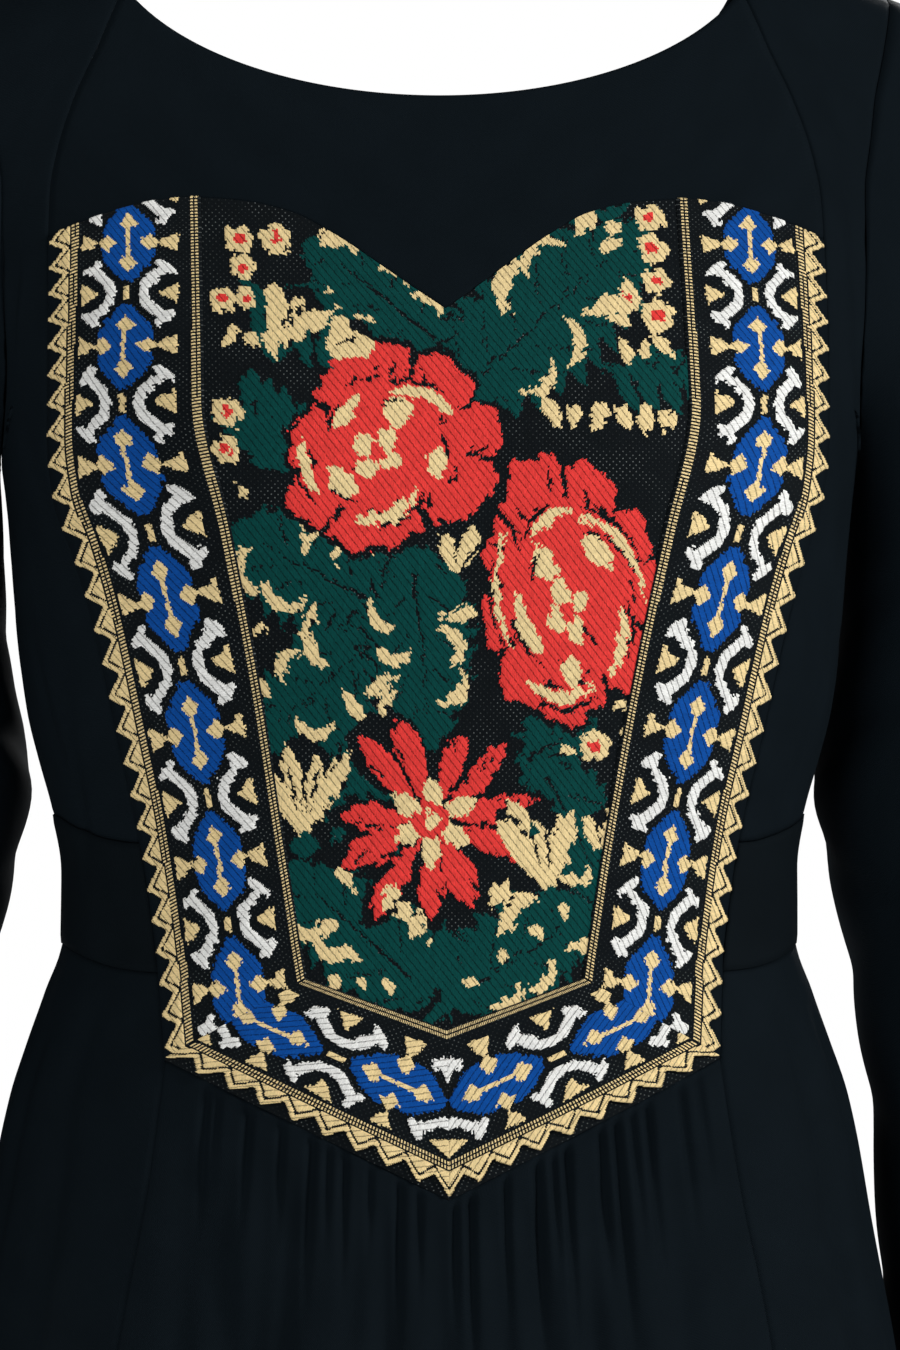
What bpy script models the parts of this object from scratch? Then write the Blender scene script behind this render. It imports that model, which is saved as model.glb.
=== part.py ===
"""A romanian ie blouse, hollow, as it hangs when it is worn.

Black cloth with a woven floral front panel between patterned ribbons, long set-in
sleeves, a waistband and a short gathered skirt part. Sizes are in millimetres until a
mesh is made. Z is up, the front faces -Y, and the origin lies on the line between the
two shoulders, at the height where the neckline meets them.
"""

import math
from collections import namedtuple

import bmesh
import bpy
from mathutils import Vector

MM = 0.001

# Cloth
WALL = 1.6
SEAM_GAP = 0.3
BELT_PROUD = 0.6
RIBBON_LIFT = 0.9
RIBBON_THICK = 1.1

# Shoulders and neckline
NECK_HALF_WIDTH = 125.0
NECK_DROP = 64.3
BACK_NECK_DROP = 72.0
SHOULDER_SLOPE = 0.415
SLOPE_FADES_AT = -120.0
RIDGE_ROUND = 32.0
SECTION_POWER = 2.2

# The fullness that the front is cut for
BUST_HEIGHT = -205.0
BUST_APART = 84.0
BUST_SPREAD = 46.0
BUST_FULL = 7.0

UNDERARM = -205.0
HEM = -640.0
SKIRT_FOLDS_START = -392.0
FOLD_EASE = 22.0

# The garment's own round at each height, from the shoulder line down to the hem
Section = namedtuple("Section", "height half_width front back middle")
SECTIONS = [
    Section(0, 260, 40, 40, 0),
    Section(-30, 252, 47, 52, 0),
    Section(-68, 234, 58, 68, -2),
    Section(-95, 210, 71, 76, -4),
    Section(-120, 193, 87, 82, -7),
    Section(-145, 181, 104, 87, -10),
    Section(-168, 171, 117, 89, -13),
    Section(-190, 165.5, 125, 90, -15),
    Section(-215, 162, 127, 89, -16),
    Section(-243, 159.5, 125, 86, -16),
    Section(-273, 157, 120, 81, -17),
    Section(-297, 153.5, 115, 74, -18),
    Section(-315, 149, 111, 69, -18),
    Section(-335, 143.5, 107, 65, -19),
    Section(-357, 140, 105, 64, -19),
    Section(-384, 140, 105, 67, -18),
    Section(-404, 146.5, 109, 76, -17),
    Section(-423, 153.5, 114, 85, -16),
    Section(-443, 160, 119, 93, -16),
    Section(-489, 169, 129, 104, -16),
    Section(-540, 178.5, 136, 112, -16),
    Section(-640, 194, 148, 124, -16),
]

# Armhole seam, from the shoulder to the underarm: angle round from the front, height
ArmholeStation = namedtuple("ArmholeStation", "turn height")
ARMHOLE = [
    ArmholeStation(41.2, 0),
    ArmholeStation(41.0, -22),
    ArmholeStation(41.6, -45),
    ArmholeStation(43.6, -68),
    ArmholeStation(49.5, -95),
    ArmholeStation(56.5, -120),
    ArmholeStation(63.0, -145),
    ArmholeStation(70.5, -168),
    ArmholeStation(78.0, -187),
    ArmholeStation(85.0, -200),
    ArmholeStation(90.0, UNDERARM),
]

# The seam from the neckline to the panel's outer top corner, as the front view shows it
SeamStation = namedtuple("SeamStation", "across height")
PRINCESS = [
    SeamStation(117.4, -22),
    SeamStation(126, -42),
    SeamStation(136, -62),
    SeamStation(142.5, -82),
    SeamStation(145.8, -101),
    SeamStation(146.5, -118.8),
]

# Panel: its outer edge and the ribbons' inner edge, half widths in front view
PanelStation = namedtuple("PanelStation", "height across")
PANEL_EDGE = [
    PanelStation(-118.8, 146.5),
    PanelStation(-196, 147),
    PanelStation(-218, 144.7),
    PanelStation(-239, 137.5),
    PanelStation(-263, 130.5),
    PanelStation(-306, 121),
    PanelStation(-346, 112.5),
    PanelStation(-394, 106),
    PanelStation(-426, 103.8),
]
RIBBON_INNER = [
    PanelStation(-104.3, 90),
    PanelStation(-181, 90),
    PanelStation(-229, 80),
    PanelStation(-282, 69.6),
    PanelStation(-341, 60),
    PanelStation(-396, 51.4),
]
PANEL_TOP = [
    SeamStation(0, -147.3),
    SeamStation(12.2, -138.8),
    SeamStation(24.8, -129.5),
    SeamStation(39.6, -119),
    SeamStation(55.5, -110),
    SeamStation(74, -105.5),
    SeamStation(90, -104.3),
    SeamStation(104.7, -105.5),
    SeamStation(117.7, -108.4),
    SeamStation(137, -114.8),
    SeamStation(146.5, -118.8),
]
# The ribbons' woven repeat: heights on the edge where each repeat starts
RibbonRepeat = namedtuple("RibbonRepeat", "repeat height")
RIBBON_REPEATS = [
    RibbonRepeat(0, -122),
    RibbonRepeat(1, -161),
    RibbonRepeat(2, -205),
    RibbonRepeat(3, -254),
    RibbonRepeat(4, -304),
    RibbonRepeat(5, -352),
    RibbonRepeat(6, -399),
    RibbonRepeat(7, -446),
]
TEETH_IN_REPEAT = 4
TEETH_ALONG_BOTTOM = 9
TOOTH_TIP = 0.985
TOOTH_VALLEY = 0.885
INNER_POINT = -414.5
OUTER_POINT = -476.6
BELT_TOP_AT_PANEL = -346.0
BELT_TOP_AT_SIDE = -336.0
BELT_FOOT_AT_PANEL = -394.0
BELT_FOOT_AT_SIDE = -385.0
SKIRT_SEAM = [
    SeamStation(103.8, -426),
    SeamStation(107, -450),
    SeamStation(112, -483),
    SeamStation(117.5, -510),
    SeamStation(121.5, -532),
    SeamStation(136, -640),
]

# Folds of the gathered skirt front: where each runs, how deep and how wide it is
FrontFold = namedtuple("FrontFold", "top_across top low_across low depth width")
FRONT_FOLDS = [
    FrontFold(-96, -446, -104, -640, 3.0, 6.5),
    FrontFold(-91, -452, -70, -640, 4.5, 8.0),
    FrontFold(-78, -450, -83, -500, 2.2, 4.5),
    FrontFold(-66, -456, -79, -640, 3.6, 5.5),
    FrontFold(-57, -460, -70, -640, 4.2, 5.0),
    FrontFold(-32, -466, -38, -540, 2.4, 5.0),
    FrontFold(-24.7, -470, -22, -640, 4.6, 4.8),
    FrontFold(-4, -474, -1, -640, 3.4, 6.0),
    FrontFold(15.3, -472, 31, -640, 4.8, 5.0),
    FrontFold(27, -466, 47, -640, 5.2, 7.0),
    FrontFold(50.4, -462, 60, -640, 4.6, 5.5),
    FrontFold(52.7, -456, 84, -600, 3.2, 5.5),
    FrontFold(81.9, -448, 97, -640, 3.4, 7.0),
]

# Softer folds round the sides and the back, by angle from the front, widths in degrees
RoundFold = namedtuple("RoundFold", "top_turn top low_turn low depth width")
ROUND_FOLDS = [
    RoundFold(-60, -400, -57, -640, 3.6, 3.2),
    RoundFold(-76, -404, -80, -640, 4.2, 3.8),
    RoundFold(-97, -400, -100, -640, 3.6, 3.4),
    RoundFold(-113, -398, -117, -640, 4.4, 3.6),
    RoundFold(-128, -402, -134, -640, 4.0, 3.6),
    RoundFold(-146, -398, -149, -640, 4.6, 3.6),
    RoundFold(-165, -400, -168, -640, 4.0, 3.8),
    RoundFold(60, -402, 63, -640, 4.0, 3.4),
    RoundFold(77, -400, 82, -640, 3.6, 3.6),
    RoundFold(99, -402, 97, -640, 4.2, 3.4),
    RoundFold(115, -398, 119, -640, 4.0, 3.8),
    RoundFold(131, -400, 133, -640, 4.4, 3.4),
    RoundFold(149, -400, 153, -640, 4.2, 3.6),
    RoundFold(168, -398, 170, -640, 4.4, 3.6),
]

# Sleeve below the armhole: its inner edge, its size across and its place front to back
SleeveStation = namedtuple("SleeveStation", "height inner_edge wide deep middle")
SLEEVE = [
    SleeveStation(-238, 162.0, 108, 116, 4),
    SleeveStation(-262, 160.3, 108, 114, 7),
    SleeveStation(-286, 157.5, 109, 112, 10),
    SleeveStation(-306, 153.3, 111, 110, 12),
    SleeveStation(-324, 150.0, 113, 108, 13),
    SleeveStation(-350, 155.0, 109.5, 107, 15),
    SleeveStation(-385, 163.0, 104, 105, 16),
    SleeveStation(-420, 169.0, 101, 104, 17),
    SleeveStation(-454, 174.5, 98.5, 102, 18),
    SleeveStation(-517, 178.0, 98, 100, 18),
    SleeveStation(-560, 184.0, 96, 98, 16),
    SleeveStation(-600, 191.0, 94, 96, 14),
]
SLEEVE_ROWS_BELOW = 20
CAP_ROWS = 6
CAP_START_PULL = 0.42
CAP_END_PULL = 0.5
CAP_LEAN = 0.35

# Creases round the elbow: height at the front, how it slants, depth and width
SleeveCrease = namedtuple("SleeveCrease", "height slant depth width")
SLEEVE_CREASES = [
    SleeveCrease(-268, 26, 2.2, 9),
    SleeveCrease(-318, 34, 3.4, 10),
    SleeveCrease(-352, -30, 3.0, 10),
    SleeveCrease(-392, 28, 3.2, 11),
    SleeveCrease(-452, -32, 2.6, 12),
    SleeveCrease(-512, 30, 2.4, 12),
    SleeveCrease(-562, -24, 2.0, 12),
]

# How finely the pieces are divided
FIELD_COLUMNS = 12
RIBBON_COLUMNS = 3
PANEL_ROWS_ABOVE_BELT = 13
BELT_ROWS = 3
PANEL_ROWS_BELOW_BELT = 2
YOKE_ROWS = 5
NECK_ROWS = 2
SIDE_COLUMNS = 7
BACK_COLUMNS = 9
BACK_NECK_ROWS = 5
ROWS_UNDER_ARMHOLE = 8
SKIRT_FRONT_COLUMNS = 46
SKIRT_FRONT_ROWS = 7
SKIRT_SIDE_COLUMNS = 14
SKIRT_SIDE_ROWS = 9
SKIRT_BACK_COLUMNS = 22

NORMAL_STEP = 0.4

Finish = namedtuple("Finish", "name colour roughness")
BLACK_CLOTH = Finish("black_cloth", (0.006, 0.008, 0.011, 1), 0.85)
BELT_CLOTH = Finish("belt_cloth", (0.004, 0.005, 0.007, 1), 0.6)
WOVEN_FIELD = Finish("woven_field", (0.09, 0.03, 0.02, 1), 0.8)
WOVEN_RIBBON = Finish("woven_ribbon", (0.2, 0.14, 0.06, 1), 0.75)


def smooth_line(table, key, column):
    """A smooth line through one column of a table, with no waves between its rows."""
    rows = sorted(table, key=lambda row: getattr(row, key))
    keys = [getattr(row, key) for row in rows]
    values = [getattr(row, column) for row in rows]
    steps = [(values[i + 1] - values[i]) / (keys[i + 1] - keys[i]) for i in range(len(keys) - 1)]
    slopes = [steps[0]]
    for before, after in zip(steps, steps[1:]):
        turning = before * after <= 0
        slopes.append(0.0 if turning else 2 * before * after / (before + after))
    slopes.append(steps[-1])

    def value(at):
        at = min(max(at, keys[0]), keys[-1])
        i = 0
        while i < len(keys) - 2 and at > keys[i + 1]:
            i += 1
        span = keys[i + 1] - keys[i]
        t = (at - keys[i]) / span
        start = values[i] * (1 + 2 * t) + slopes[i] * span * t
        end = values[i + 1] * (3 - 2 * t) + slopes[i + 1] * span * (t - 1)
        return start * (1 - t) ** 2 + end * t ** 2

    return value


half_width_at = smooth_line(SECTIONS, "height", "half_width")
front_at = smooth_line(SECTIONS, "height", "front")
back_at = smooth_line(SECTIONS, "height", "back")
middle_at = smooth_line(SECTIONS, "height", "middle")
panel_edge_at = smooth_line(PANEL_EDGE, "height", "across")
ribbon_inner_at = smooth_line(RIBBON_INNER, "height", "across")
panel_top_at = smooth_line(PANEL_TOP, "across", "height")
repeat_height_at = smooth_line(RIBBON_REPEATS, "repeat", "height")
princess_at = smooth_line(PRINCESS, "height", "across")
skirt_seam_at = smooth_line(SKIRT_SEAM, "height", "across")
sleeve_inner_at = smooth_line(SLEEVE, "height", "inner_edge")
sleeve_wide_at = smooth_line(SLEEVE, "height", "wide")
sleeve_deep_at = smooth_line(SLEEVE, "height", "deep")
sleeve_middle_at = smooth_line(SLEEVE, "height", "middle")


def blend(start, end, t):
    return start + (end - start) * t


def ease(t):
    t = min(max(t, 0.0), 1.0)
    return t * t * (3 - 2 * t)


def shoulder_drop(across, height):
    """How far the shoulder slopes down outside the neckline, fading below the shoulder."""
    beyond = max(0.0, abs(across) - NECK_HALF_WIDTH)
    return SHOULDER_SLOPE * beyond * (1 - ease(height / SLOPE_FADES_AT))


def smooth_form(turn, height):
    """The garment's surface without folds. Turn is the angle from the centre front."""
    side = math.copysign(1.0, math.sin(turn)) if math.sin(turn) else 1.0
    across = side * half_width_at(height) * abs(math.sin(turn)) ** (2 / SECTION_POWER)
    round_over = math.sqrt(1 - (1 - min(-height / RIDGE_ROUND, 1.0)) ** 2)
    deep = abs(math.cos(turn)) ** (2 / SECTION_POWER)
    middle = middle_at(height)
    if math.cos(turn) >= 0:
        y = middle - (front_at(height) + middle) * deep
        reach = ((abs(across) - BUST_APART) ** 2 + (height - BUST_HEIGHT) ** 2) / BUST_SPREAD ** 2
        y -= BUST_FULL * math.exp(-reach) * deep
    else:
        y = middle + (back_at(height) - middle) * deep
    return Vector((across, y * round_over, height - shoulder_drop(across, height)))


def turn_of(across, height):
    """The angle from the centre front of a point on the front, from its front view place."""
    share = min(abs(across) / half_width_at(height), 1.0)
    return math.copysign(math.asin(share ** (SECTION_POWER / 2)), across)


def fold_strength(height, top, low):
    """A fold deepens below the seam it hangs from, and fades if it ends above the hem."""
    started = ease((top - height) / FOLD_EASE)
    ended = 1.0 if low <= HEM else ease((height - low) / FOLD_EASE)
    return started * ended * (0.55 + 0.45 * ease((top - height) / 120.0))


def fold_inward(turn, height):
    """How far the skirt's folds sink the surface at a point."""
    if height > SKIRT_FOLDS_START:
        return 0.0
    depth = 0.0
    if abs(turn) < math.pi / 2:
        across = half_width_at(height) * abs(math.sin(turn)) ** (2 / SECTION_POWER)
        across = math.copysign(across, turn)
        for fold in FRONT_FOLDS:
            line = blend(fold.top_across, fold.low_across, (fold.top - height) / (fold.top - fold.low))
            near = math.exp(-((across - line) / fold.width) ** 2)
            depth += fold.depth * near * fold_strength(height, fold.top, fold.low)
    degrees = math.degrees(turn)
    for fold in ROUND_FOLDS:
        line = blend(fold.top_turn, fold.low_turn, (fold.top - height) / (fold.top - fold.low))
        near = math.exp(-((degrees - line) / fold.width) ** 2)
        depth += fold.depth * near * fold_strength(height, fold.top, fold.low)
    return depth


def facing(form, turn, height):
    """The outward direction of a form at a point."""
    if height > -1.0:
        along = form(turn + 0.01, 0.0) - form(turn - 0.01, 0.0)
        up = along.cross(Vector((0, 1, 0)))
        return up.normalized() if up.z > 0 else -up.normalized()
    lower = form(turn, height - NORMAL_STEP)
    upper = form(turn, min(height + NORMAL_STEP, -0.01))
    along = form(turn + 0.004, height) - form(turn - 0.004, height)
    return along.cross(upper - lower).normalized()


def folded_form(turn, height):
    """The garment's surface with its folds."""
    inward = fold_inward(turn, height)
    point = smooth_form(turn, height)
    if inward:
        point -= facing(smooth_form, turn, height) * inward
    return point


def on_form(turn, height):
    """A point of the surface and the way it faces."""
    return folded_form(turn, height), facing(folded_form, turn, height)


def on_front(across, height):
    return on_form(turn_of(across, height), height)


def neckline(share):
    """Front neckline from the shoulder, share 0, to the centre front, share 1."""
    angle = share * math.pi / 2
    return NECK_HALF_WIDTH * math.cos(angle), -NECK_DROP * math.sin(angle)


def pull_in(grid):
    """Draw a grid's edges in by half a seam gap, towards the next row or column."""
    half = SEAM_GAP / 2

    def nearer(point, towards):
        return point[0] + (towards[0] - point[0]).normalized() * half, point[1]

    for row in grid:
        row[0] = nearer(row[0], row[1])
        row[-1] = nearer(row[-1], row[-2])
    first = [nearer(point, below) for point, below in zip(grid[0], grid[1])]
    last = [nearer(point, above) for point, above in zip(grid[-1], grid[-2])]
    grid[0] = first
    grid[-1] = last
    return grid


def sheet_from(grids, closed=False):
    """Join grids of points that share edges into one sheet of cells."""
    points = []
    places = {}
    cells = []

    def place(point):
        key = tuple(round(value, 3) for value in point[0])
        if key not in places:
            places[key] = len(points)
            points.append(point)
        return places[key]

    for grid in grids:
        for upper, lower in zip(grid, grid[1:]):
            around = list(range(len(upper)))
            nexts = around[1:] + around[:1] if closed else around[1:]
            for a, b in zip(around, nexts):
                corners = (upper[a], lower[a], lower[b], upper[b])
                cell = []
                for corner in corners:
                    index = place(corner)
                    if index not in cell:
                        cell.append(index)
                cells.append(cell)
    return points, cells


def wall(name, grids, finish, outer=0.0, inner=-WALL, closed=False):
    """A closed wall of cloth between two offsets of a sheet."""
    points, cells = sheet_from(grids, closed)
    mesh = bmesh.new()
    outside = [mesh.verts.new((point + way * outer) * MM) for point, way in points]
    inside = [mesh.verts.new((point + way * inner) * MM) for point, way in points]
    edges = {}
    for cell in cells:
        mesh.faces.new([outside[i] for i in cell])
        mesh.faces.new([inside[i] for i in reversed(cell)])
        for a, b in zip(cell, cell[1:] + cell[:1]):
            edges[(a, b)] = True
    for a, b in edges:
        if (b, a) not in edges:
            mesh.faces.new((outside[b], outside[a], inside[a], inside[b]))
    bmesh.ops.recalc_face_normals(mesh, faces=mesh.faces)
    bmesh.ops.triangulate(mesh, faces=mesh.faces)
    data = bpy.data.meshes.new(name)
    mesh.to_mesh(data)
    mesh.free()
    data.shade_smooth()
    data.set_sharp_from_angle(angle=math.radians(40))
    data.materials.append(material_of(finish))
    thing = bpy.data.objects.new(name, data)
    bpy.context.scene.collection.objects.link(thing)
    return thing


def material_of(finish):
    material = bpy.data.materials.get(finish.name)
    if material is None:
        material = bpy.data.materials.new(finish.name)
        material.use_nodes = True
        shader = material.node_tree.nodes["Principled BSDF"]
        shader.inputs["Base Color"].default_value = finish.colour
        shader.inputs["Roughness"].default_value = finish.roughness
        shader.inputs["Metallic"].default_value = 0.0
        material.diffuse_color = finish.colour
    return material


def panel_edge_heights():
    """Heights of the rows down the panel's outer edge, with a row at each belt seam."""
    start = PANEL_TOP[-1].height
    end = PANEL_EDGE[-1].height
    rows = PANEL_ROWS_ABOVE_BELT
    heights = [blend(start, BELT_TOP_AT_PANEL, i / rows) for i in range(rows)]
    rows = BELT_ROWS
    heights += [blend(BELT_TOP_AT_PANEL, BELT_FOOT_AT_PANEL, i / rows) for i in range(rows)]
    rows = PANEL_ROWS_BELOW_BELT
    heights += [blend(BELT_FOOT_AT_PANEL, end, i / rows) for i in range(rows + 1)]
    return heights


def down_share(height):
    """How far down the panel's outer edge a height is, from 0 to 1."""
    return (height - PANEL_EDGE[0].height) / (PANEL_EDGE[-1].height - PANEL_EDGE[0].height)


def inner_station(edge_height):
    """The ribbon's inner edge beside a station of the panel's outer edge."""
    height = blend(RIBBON_INNER[0].height, RIBBON_INNER[-1].height, down_share(edge_height))
    return ribbon_inner_at(height), height


def field_grid():
    """The panel between the ribbons."""
    grid = []
    for edge_height in panel_edge_heights():
        half, height = inner_station(edge_height)
        share = down_share(edge_height)
        row = []
        for column in range(FIELD_COLUMNS + 1):
            place = 2 * column / FIELD_COLUMNS - 1
            at_top = panel_top_at(abs(place) * RIBBON_INNER[0].across) - RIBBON_INNER[0].height
            at_foot = (INNER_POINT - RIBBON_INNER[-1].height) * (1 - abs(place))
            row.append(on_front(place * half, height + blend(at_top, at_foot, share)))
        grid.append(row)
    return grid


def ribbon_shares():
    """Shares of the ribbon's width at the panel's own columns."""
    return [column / RIBBON_COLUMNS for column in range(RIBBON_COLUMNS + 1)]


def tooth_heights():
    """Heights of the tips and valleys of the teeth down the panel's outer edge."""
    start = PANEL_EDGE[0].height
    end = PANEL_EDGE[-1].height
    heights = [start]
    index = 1
    while True:
        height = repeat_height_at(index / (2 * TEETH_IN_REPEAT))
        if height < end + 3.0:
            break
        heights.append(height)
        index += 1
    if len(heights) % 2 == 0:
        heights.pop()
    return heights + [blend(heights[-1], end, 0.5), end]


def side_ribbon_point(side, edge_height, share):
    """A point of the strip down the panel's side, by its outer edge's height and its share."""
    inner_half, inner_height = inner_station(edge_height)
    outer_half = panel_edge_at(edge_height)
    top_across = blend(RIBBON_INNER[0].across, PANEL_EDGE[0].across, share)
    straight = blend(RIBBON_INNER[0].height, PANEL_EDGE[0].height, share)
    bow = (panel_top_at(top_across) - straight) * (1 - down_share(edge_height))
    across = blend(inner_half, outer_half, share)
    return on_front(side * across, blend(inner_height, edge_height, share) + bow)


def side_ribbon_grid(side, heights, shares):
    """A grid down one side of the panel."""
    rows = [[side_ribbon_point(side, height, share) for share in shares] for height in heights]
    return ordered(rows, side)


def with_teeth(strip_point, stations):
    """Rows from a ribbon's inner edge to its outer one, cut in and out along its teeth."""
    shares = ribbon_shares()[:-1]
    grid = []
    for index, station in enumerate(stations):
        edge = TOOTH_VALLEY if index % 2 else TOOTH_TIP
        grid.append([strip_point(station, share) for share in shares + [edge]])
    return grid


def toothed_side_grid(side):
    """The ribbon down one side, with its teeth."""
    rows = with_teeth(lambda height, share: side_ribbon_point(side, height, share), tooth_heights())
    return ordered(rows, side)


def ordered(grid, side):
    """Left hand grids run the other way, so that every sheet faces out."""
    if side > 0:
        return grid
    return [row[::-1] for row in grid]


def bottom_ribbon_point(side, place, share):
    """A point of the strip along the V: place runs from the centre to the corner."""
    corner_across = blend(RIBBON_INNER[-1].across, PANEL_EDGE[-1].across, share)
    corner_height = blend(RIBBON_INNER[-1].height, PANEL_EDGE[-1].height, share)
    point_height = blend(INNER_POINT, OUTER_POINT, share)
    return on_front(side * place * corner_across, blend(point_height, corner_height, place))


def bottom_ribbon_grid(side):
    """A grid along one side of the panel's V, at the field's columns."""
    places = [2 * column / FIELD_COLUMNS for column in range(FIELD_COLUMNS // 2 + 1)]
    rows = [[bottom_ribbon_point(side, place, share) for place in places] for share in ribbon_shares()]
    return ordered(rows, side)


def toothed_bottom_grid(side):
    """The ribbon along one side of the V, with its teeth."""
    steps = 2 * TEETH_ALONG_BOTTOM
    places = [index / steps for index in range(steps + 1)]
    rows = with_teeth(lambda place, share: bottom_ribbon_point(side, place, share), places)
    return ordered(rows, -side)


def make_panel():
    """The woven panel, and the ribbons that lie on its edges and stop short of each other."""
    heights = panel_edge_heights()
    sides = [side_ribbon_grid(side, heights, ribbon_shares()) for side in (-1, 1)]
    bottoms = [bottom_ribbon_grid(side) for side in (-1, 1)]
    wall("front_panel", [field_grid()] + sides + bottoms, WOVEN_FIELD)
    low = RIBBON_LIFT
    high = RIBBON_LIFT + RIBBON_THICK
    for word, side in (("left", -1), ("right", 1)):
        wall("ribbon_" + word, [pull_in(toothed_side_grid(side))], WOVEN_RIBBON, high, low)
        wall("ribbon_bottom_" + word, [pull_in(toothed_bottom_grid(side))], WOVEN_RIBBON, high, low)


def princess_station(index):
    """One station of the seam between the yoke and the side front."""
    height = blend(PRINCESS[0].height, PRINCESS[-1].height, index / YOKE_ROWS)
    return princess_at(height), height


def yoke_places():
    """Places across the yoke, as shares of the panel's top, at the panel's own columns."""
    inner = RIBBON_INNER[0].across / PANEL_EDGE[0].across
    right = [blend(inner, 1.0, i / RIBBON_COLUMNS) for i in range(1, RIBBON_COLUMNS + 1)]
    field = [inner * (2 * i / FIELD_COLUMNS - 1) for i in range(FIELD_COLUMNS + 1)]
    return [-place for place in reversed(right)] + field + right


def make_yoke():
    """The plain yoke from the neckline to the panel's sweetheart top."""
    top_half = PRINCESS[0].across
    grid = []
    for index in range(YOKE_ROWS + 1):
        half = princess_station(index)[0]
        share = index / YOKE_ROWS
        row = []
        for place in yoke_places():
            neck_across = min(abs(place) * top_half, NECK_HALF_WIDTH)
            at_neck = -NECK_DROP * math.sqrt(1 - (neck_across / NECK_HALF_WIDTH) ** 2)
            at_panel = panel_top_at(abs(place) * PANEL_EDGE[0].across)
            row.append(on_front(place * half, blend(at_neck, at_panel, share)))
        grid.append(row)
    wall("front_yoke", [pull_in(grid)], BLACK_CLOTH)


def arm_station(index, behind=False):
    """Angle and height of one station of the armhole seam."""
    station = ARMHOLE[index]
    turn = math.radians(station.turn)
    return (math.pi - turn if behind else turn), station.height


def belt_line(at_panel, at_side, share):
    """Height of a belt seam between the panel, share 0, and the side, share 1."""
    return blend(at_panel, at_side, ease(share))


def side_front_edges():
    """Inner and outer edge of the side front, row by row, as angle and height."""
    inner = []
    start = math.asin(-PRINCESS[0].height / NECK_DROP) / (math.pi / 2)
    for index in range(NECK_ROWS):
        across, height = neckline(start * index / NECK_ROWS)
        inner.append((turn_of(across, height), height))
    for index in range(YOKE_ROWS):
        across, height = princess_station(index)
        inner.append((turn_of(across, height), height))
    for height in panel_edge_heights()[:PANEL_ROWS_ABOVE_BELT + 1]:
        inner.append((turn_of(panel_edge_at(height), height), height))
    outer = [arm_station(index) for index in range(len(ARMHOLE))]
    rest = len(inner) - len(outer)
    for index in range(1, rest + 1):
        outer.append((math.pi / 2, blend(UNDERARM, BELT_TOP_AT_SIDE, index / rest)))
    return inner, outer


def between_edges(inner, outer, columns, side):
    """A grid of points between two edges given as angle and height."""
    grid = []
    for (turn_a, height_a), (turn_b, height_b) in zip(inner, outer):
        row = []
        for column in range(columns + 1):
            share = column / columns
            row.append(on_form(side * blend(turn_a, turn_b, share), blend(height_a, height_b, ease(share))))
        grid.append(row)
    return ordered(grid, side)


def make_side_front(word, side):
    inner, outer = side_front_edges()
    grid = between_edges(inner, outer, SIDE_COLUMNS, side)
    wall("side_front_" + word, [pull_in(grid)], BLACK_CLOTH)


def back_edges():
    """Side and centre back edges of the back, row by row, as angle and height."""
    centre = []
    for index in range(BACK_NECK_ROWS + 1):
        angle = index / BACK_NECK_ROWS * math.pi / 2
        across = NECK_HALF_WIDTH * math.cos(angle)
        height = -BACK_NECK_DROP * math.sin(angle)
        centre.append((math.pi - turn_of(across, height), height))
    rows = len(ARMHOLE) - 1 + ROWS_UNDER_ARMHOLE - BACK_NECK_ROWS
    for index in range(1, rows + 1):
        centre.append((math.pi, blend(-BACK_NECK_DROP, BELT_TOP_AT_SIDE, index / rows)))
    side_edge = [arm_station(index, behind=True) for index in range(len(ARMHOLE))]
    for index in range(1, ROWS_UNDER_ARMHOLE + 1):
        side_edge.append((math.pi / 2, blend(UNDERARM, BELT_TOP_AT_SIDE, index / ROWS_UNDER_ARMHOLE)))
    return side_edge, centre


def make_back(word, side):
    side_edge, centre = back_edges()
    grid = between_edges(side_edge, centre, BACK_COLUMNS, side)
    wall("back_" + word, [pull_in(grid)], BLACK_CLOTH)


def make_belt(word, side):
    """Waistband from the panel's edge to the centre back."""
    grid = []
    for index in range(BELT_ROWS + 1):
        share = index / BELT_ROWS
        at_panel = blend(BELT_TOP_AT_PANEL, BELT_FOOT_AT_PANEL, share)
        at_side = blend(BELT_TOP_AT_SIDE, BELT_FOOT_AT_SIDE, share)
        start = turn_of(panel_edge_at(at_panel), at_panel)
        row = []
        for column in range(SIDE_COLUMNS):
            along = column / SIDE_COLUMNS
            row.append(on_form(side * blend(start, math.pi / 2, along), belt_line(at_panel, at_side, along)))
        for column in range(BACK_COLUMNS + 1):
            row.append(on_form(side * blend(math.pi / 2, math.pi, column / BACK_COLUMNS), at_side))
        grid.append(row)
    wall("belt_" + word, [pull_in(ordered(grid, side))], BELT_CLOTH, BELT_PROUD)


def make_skirt_front():
    """The gathered front, from the panel's V to the hem."""
    corner = SKIRT_SEAM[0]
    grid = []
    for index in range(SKIRT_FRONT_ROWS + 1):
        share = (index / SKIRT_FRONT_ROWS) ** 1.15
        row = []
        for column in range(SKIRT_FRONT_COLUMNS + 1):
            place = 2 * column / SKIRT_FRONT_COLUMNS - 1
            top = blend(OUTER_POINT, corner.height, abs(place))
            height = blend(top, HEM, share)
            seam_height = blend(corner.height, HEM, share)
            row.append(on_front(place * skirt_seam_at(seam_height), height))
        grid.append(row)
    wall("skirt_front", [pull_in(grid)], BLACK_CLOTH)


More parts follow.
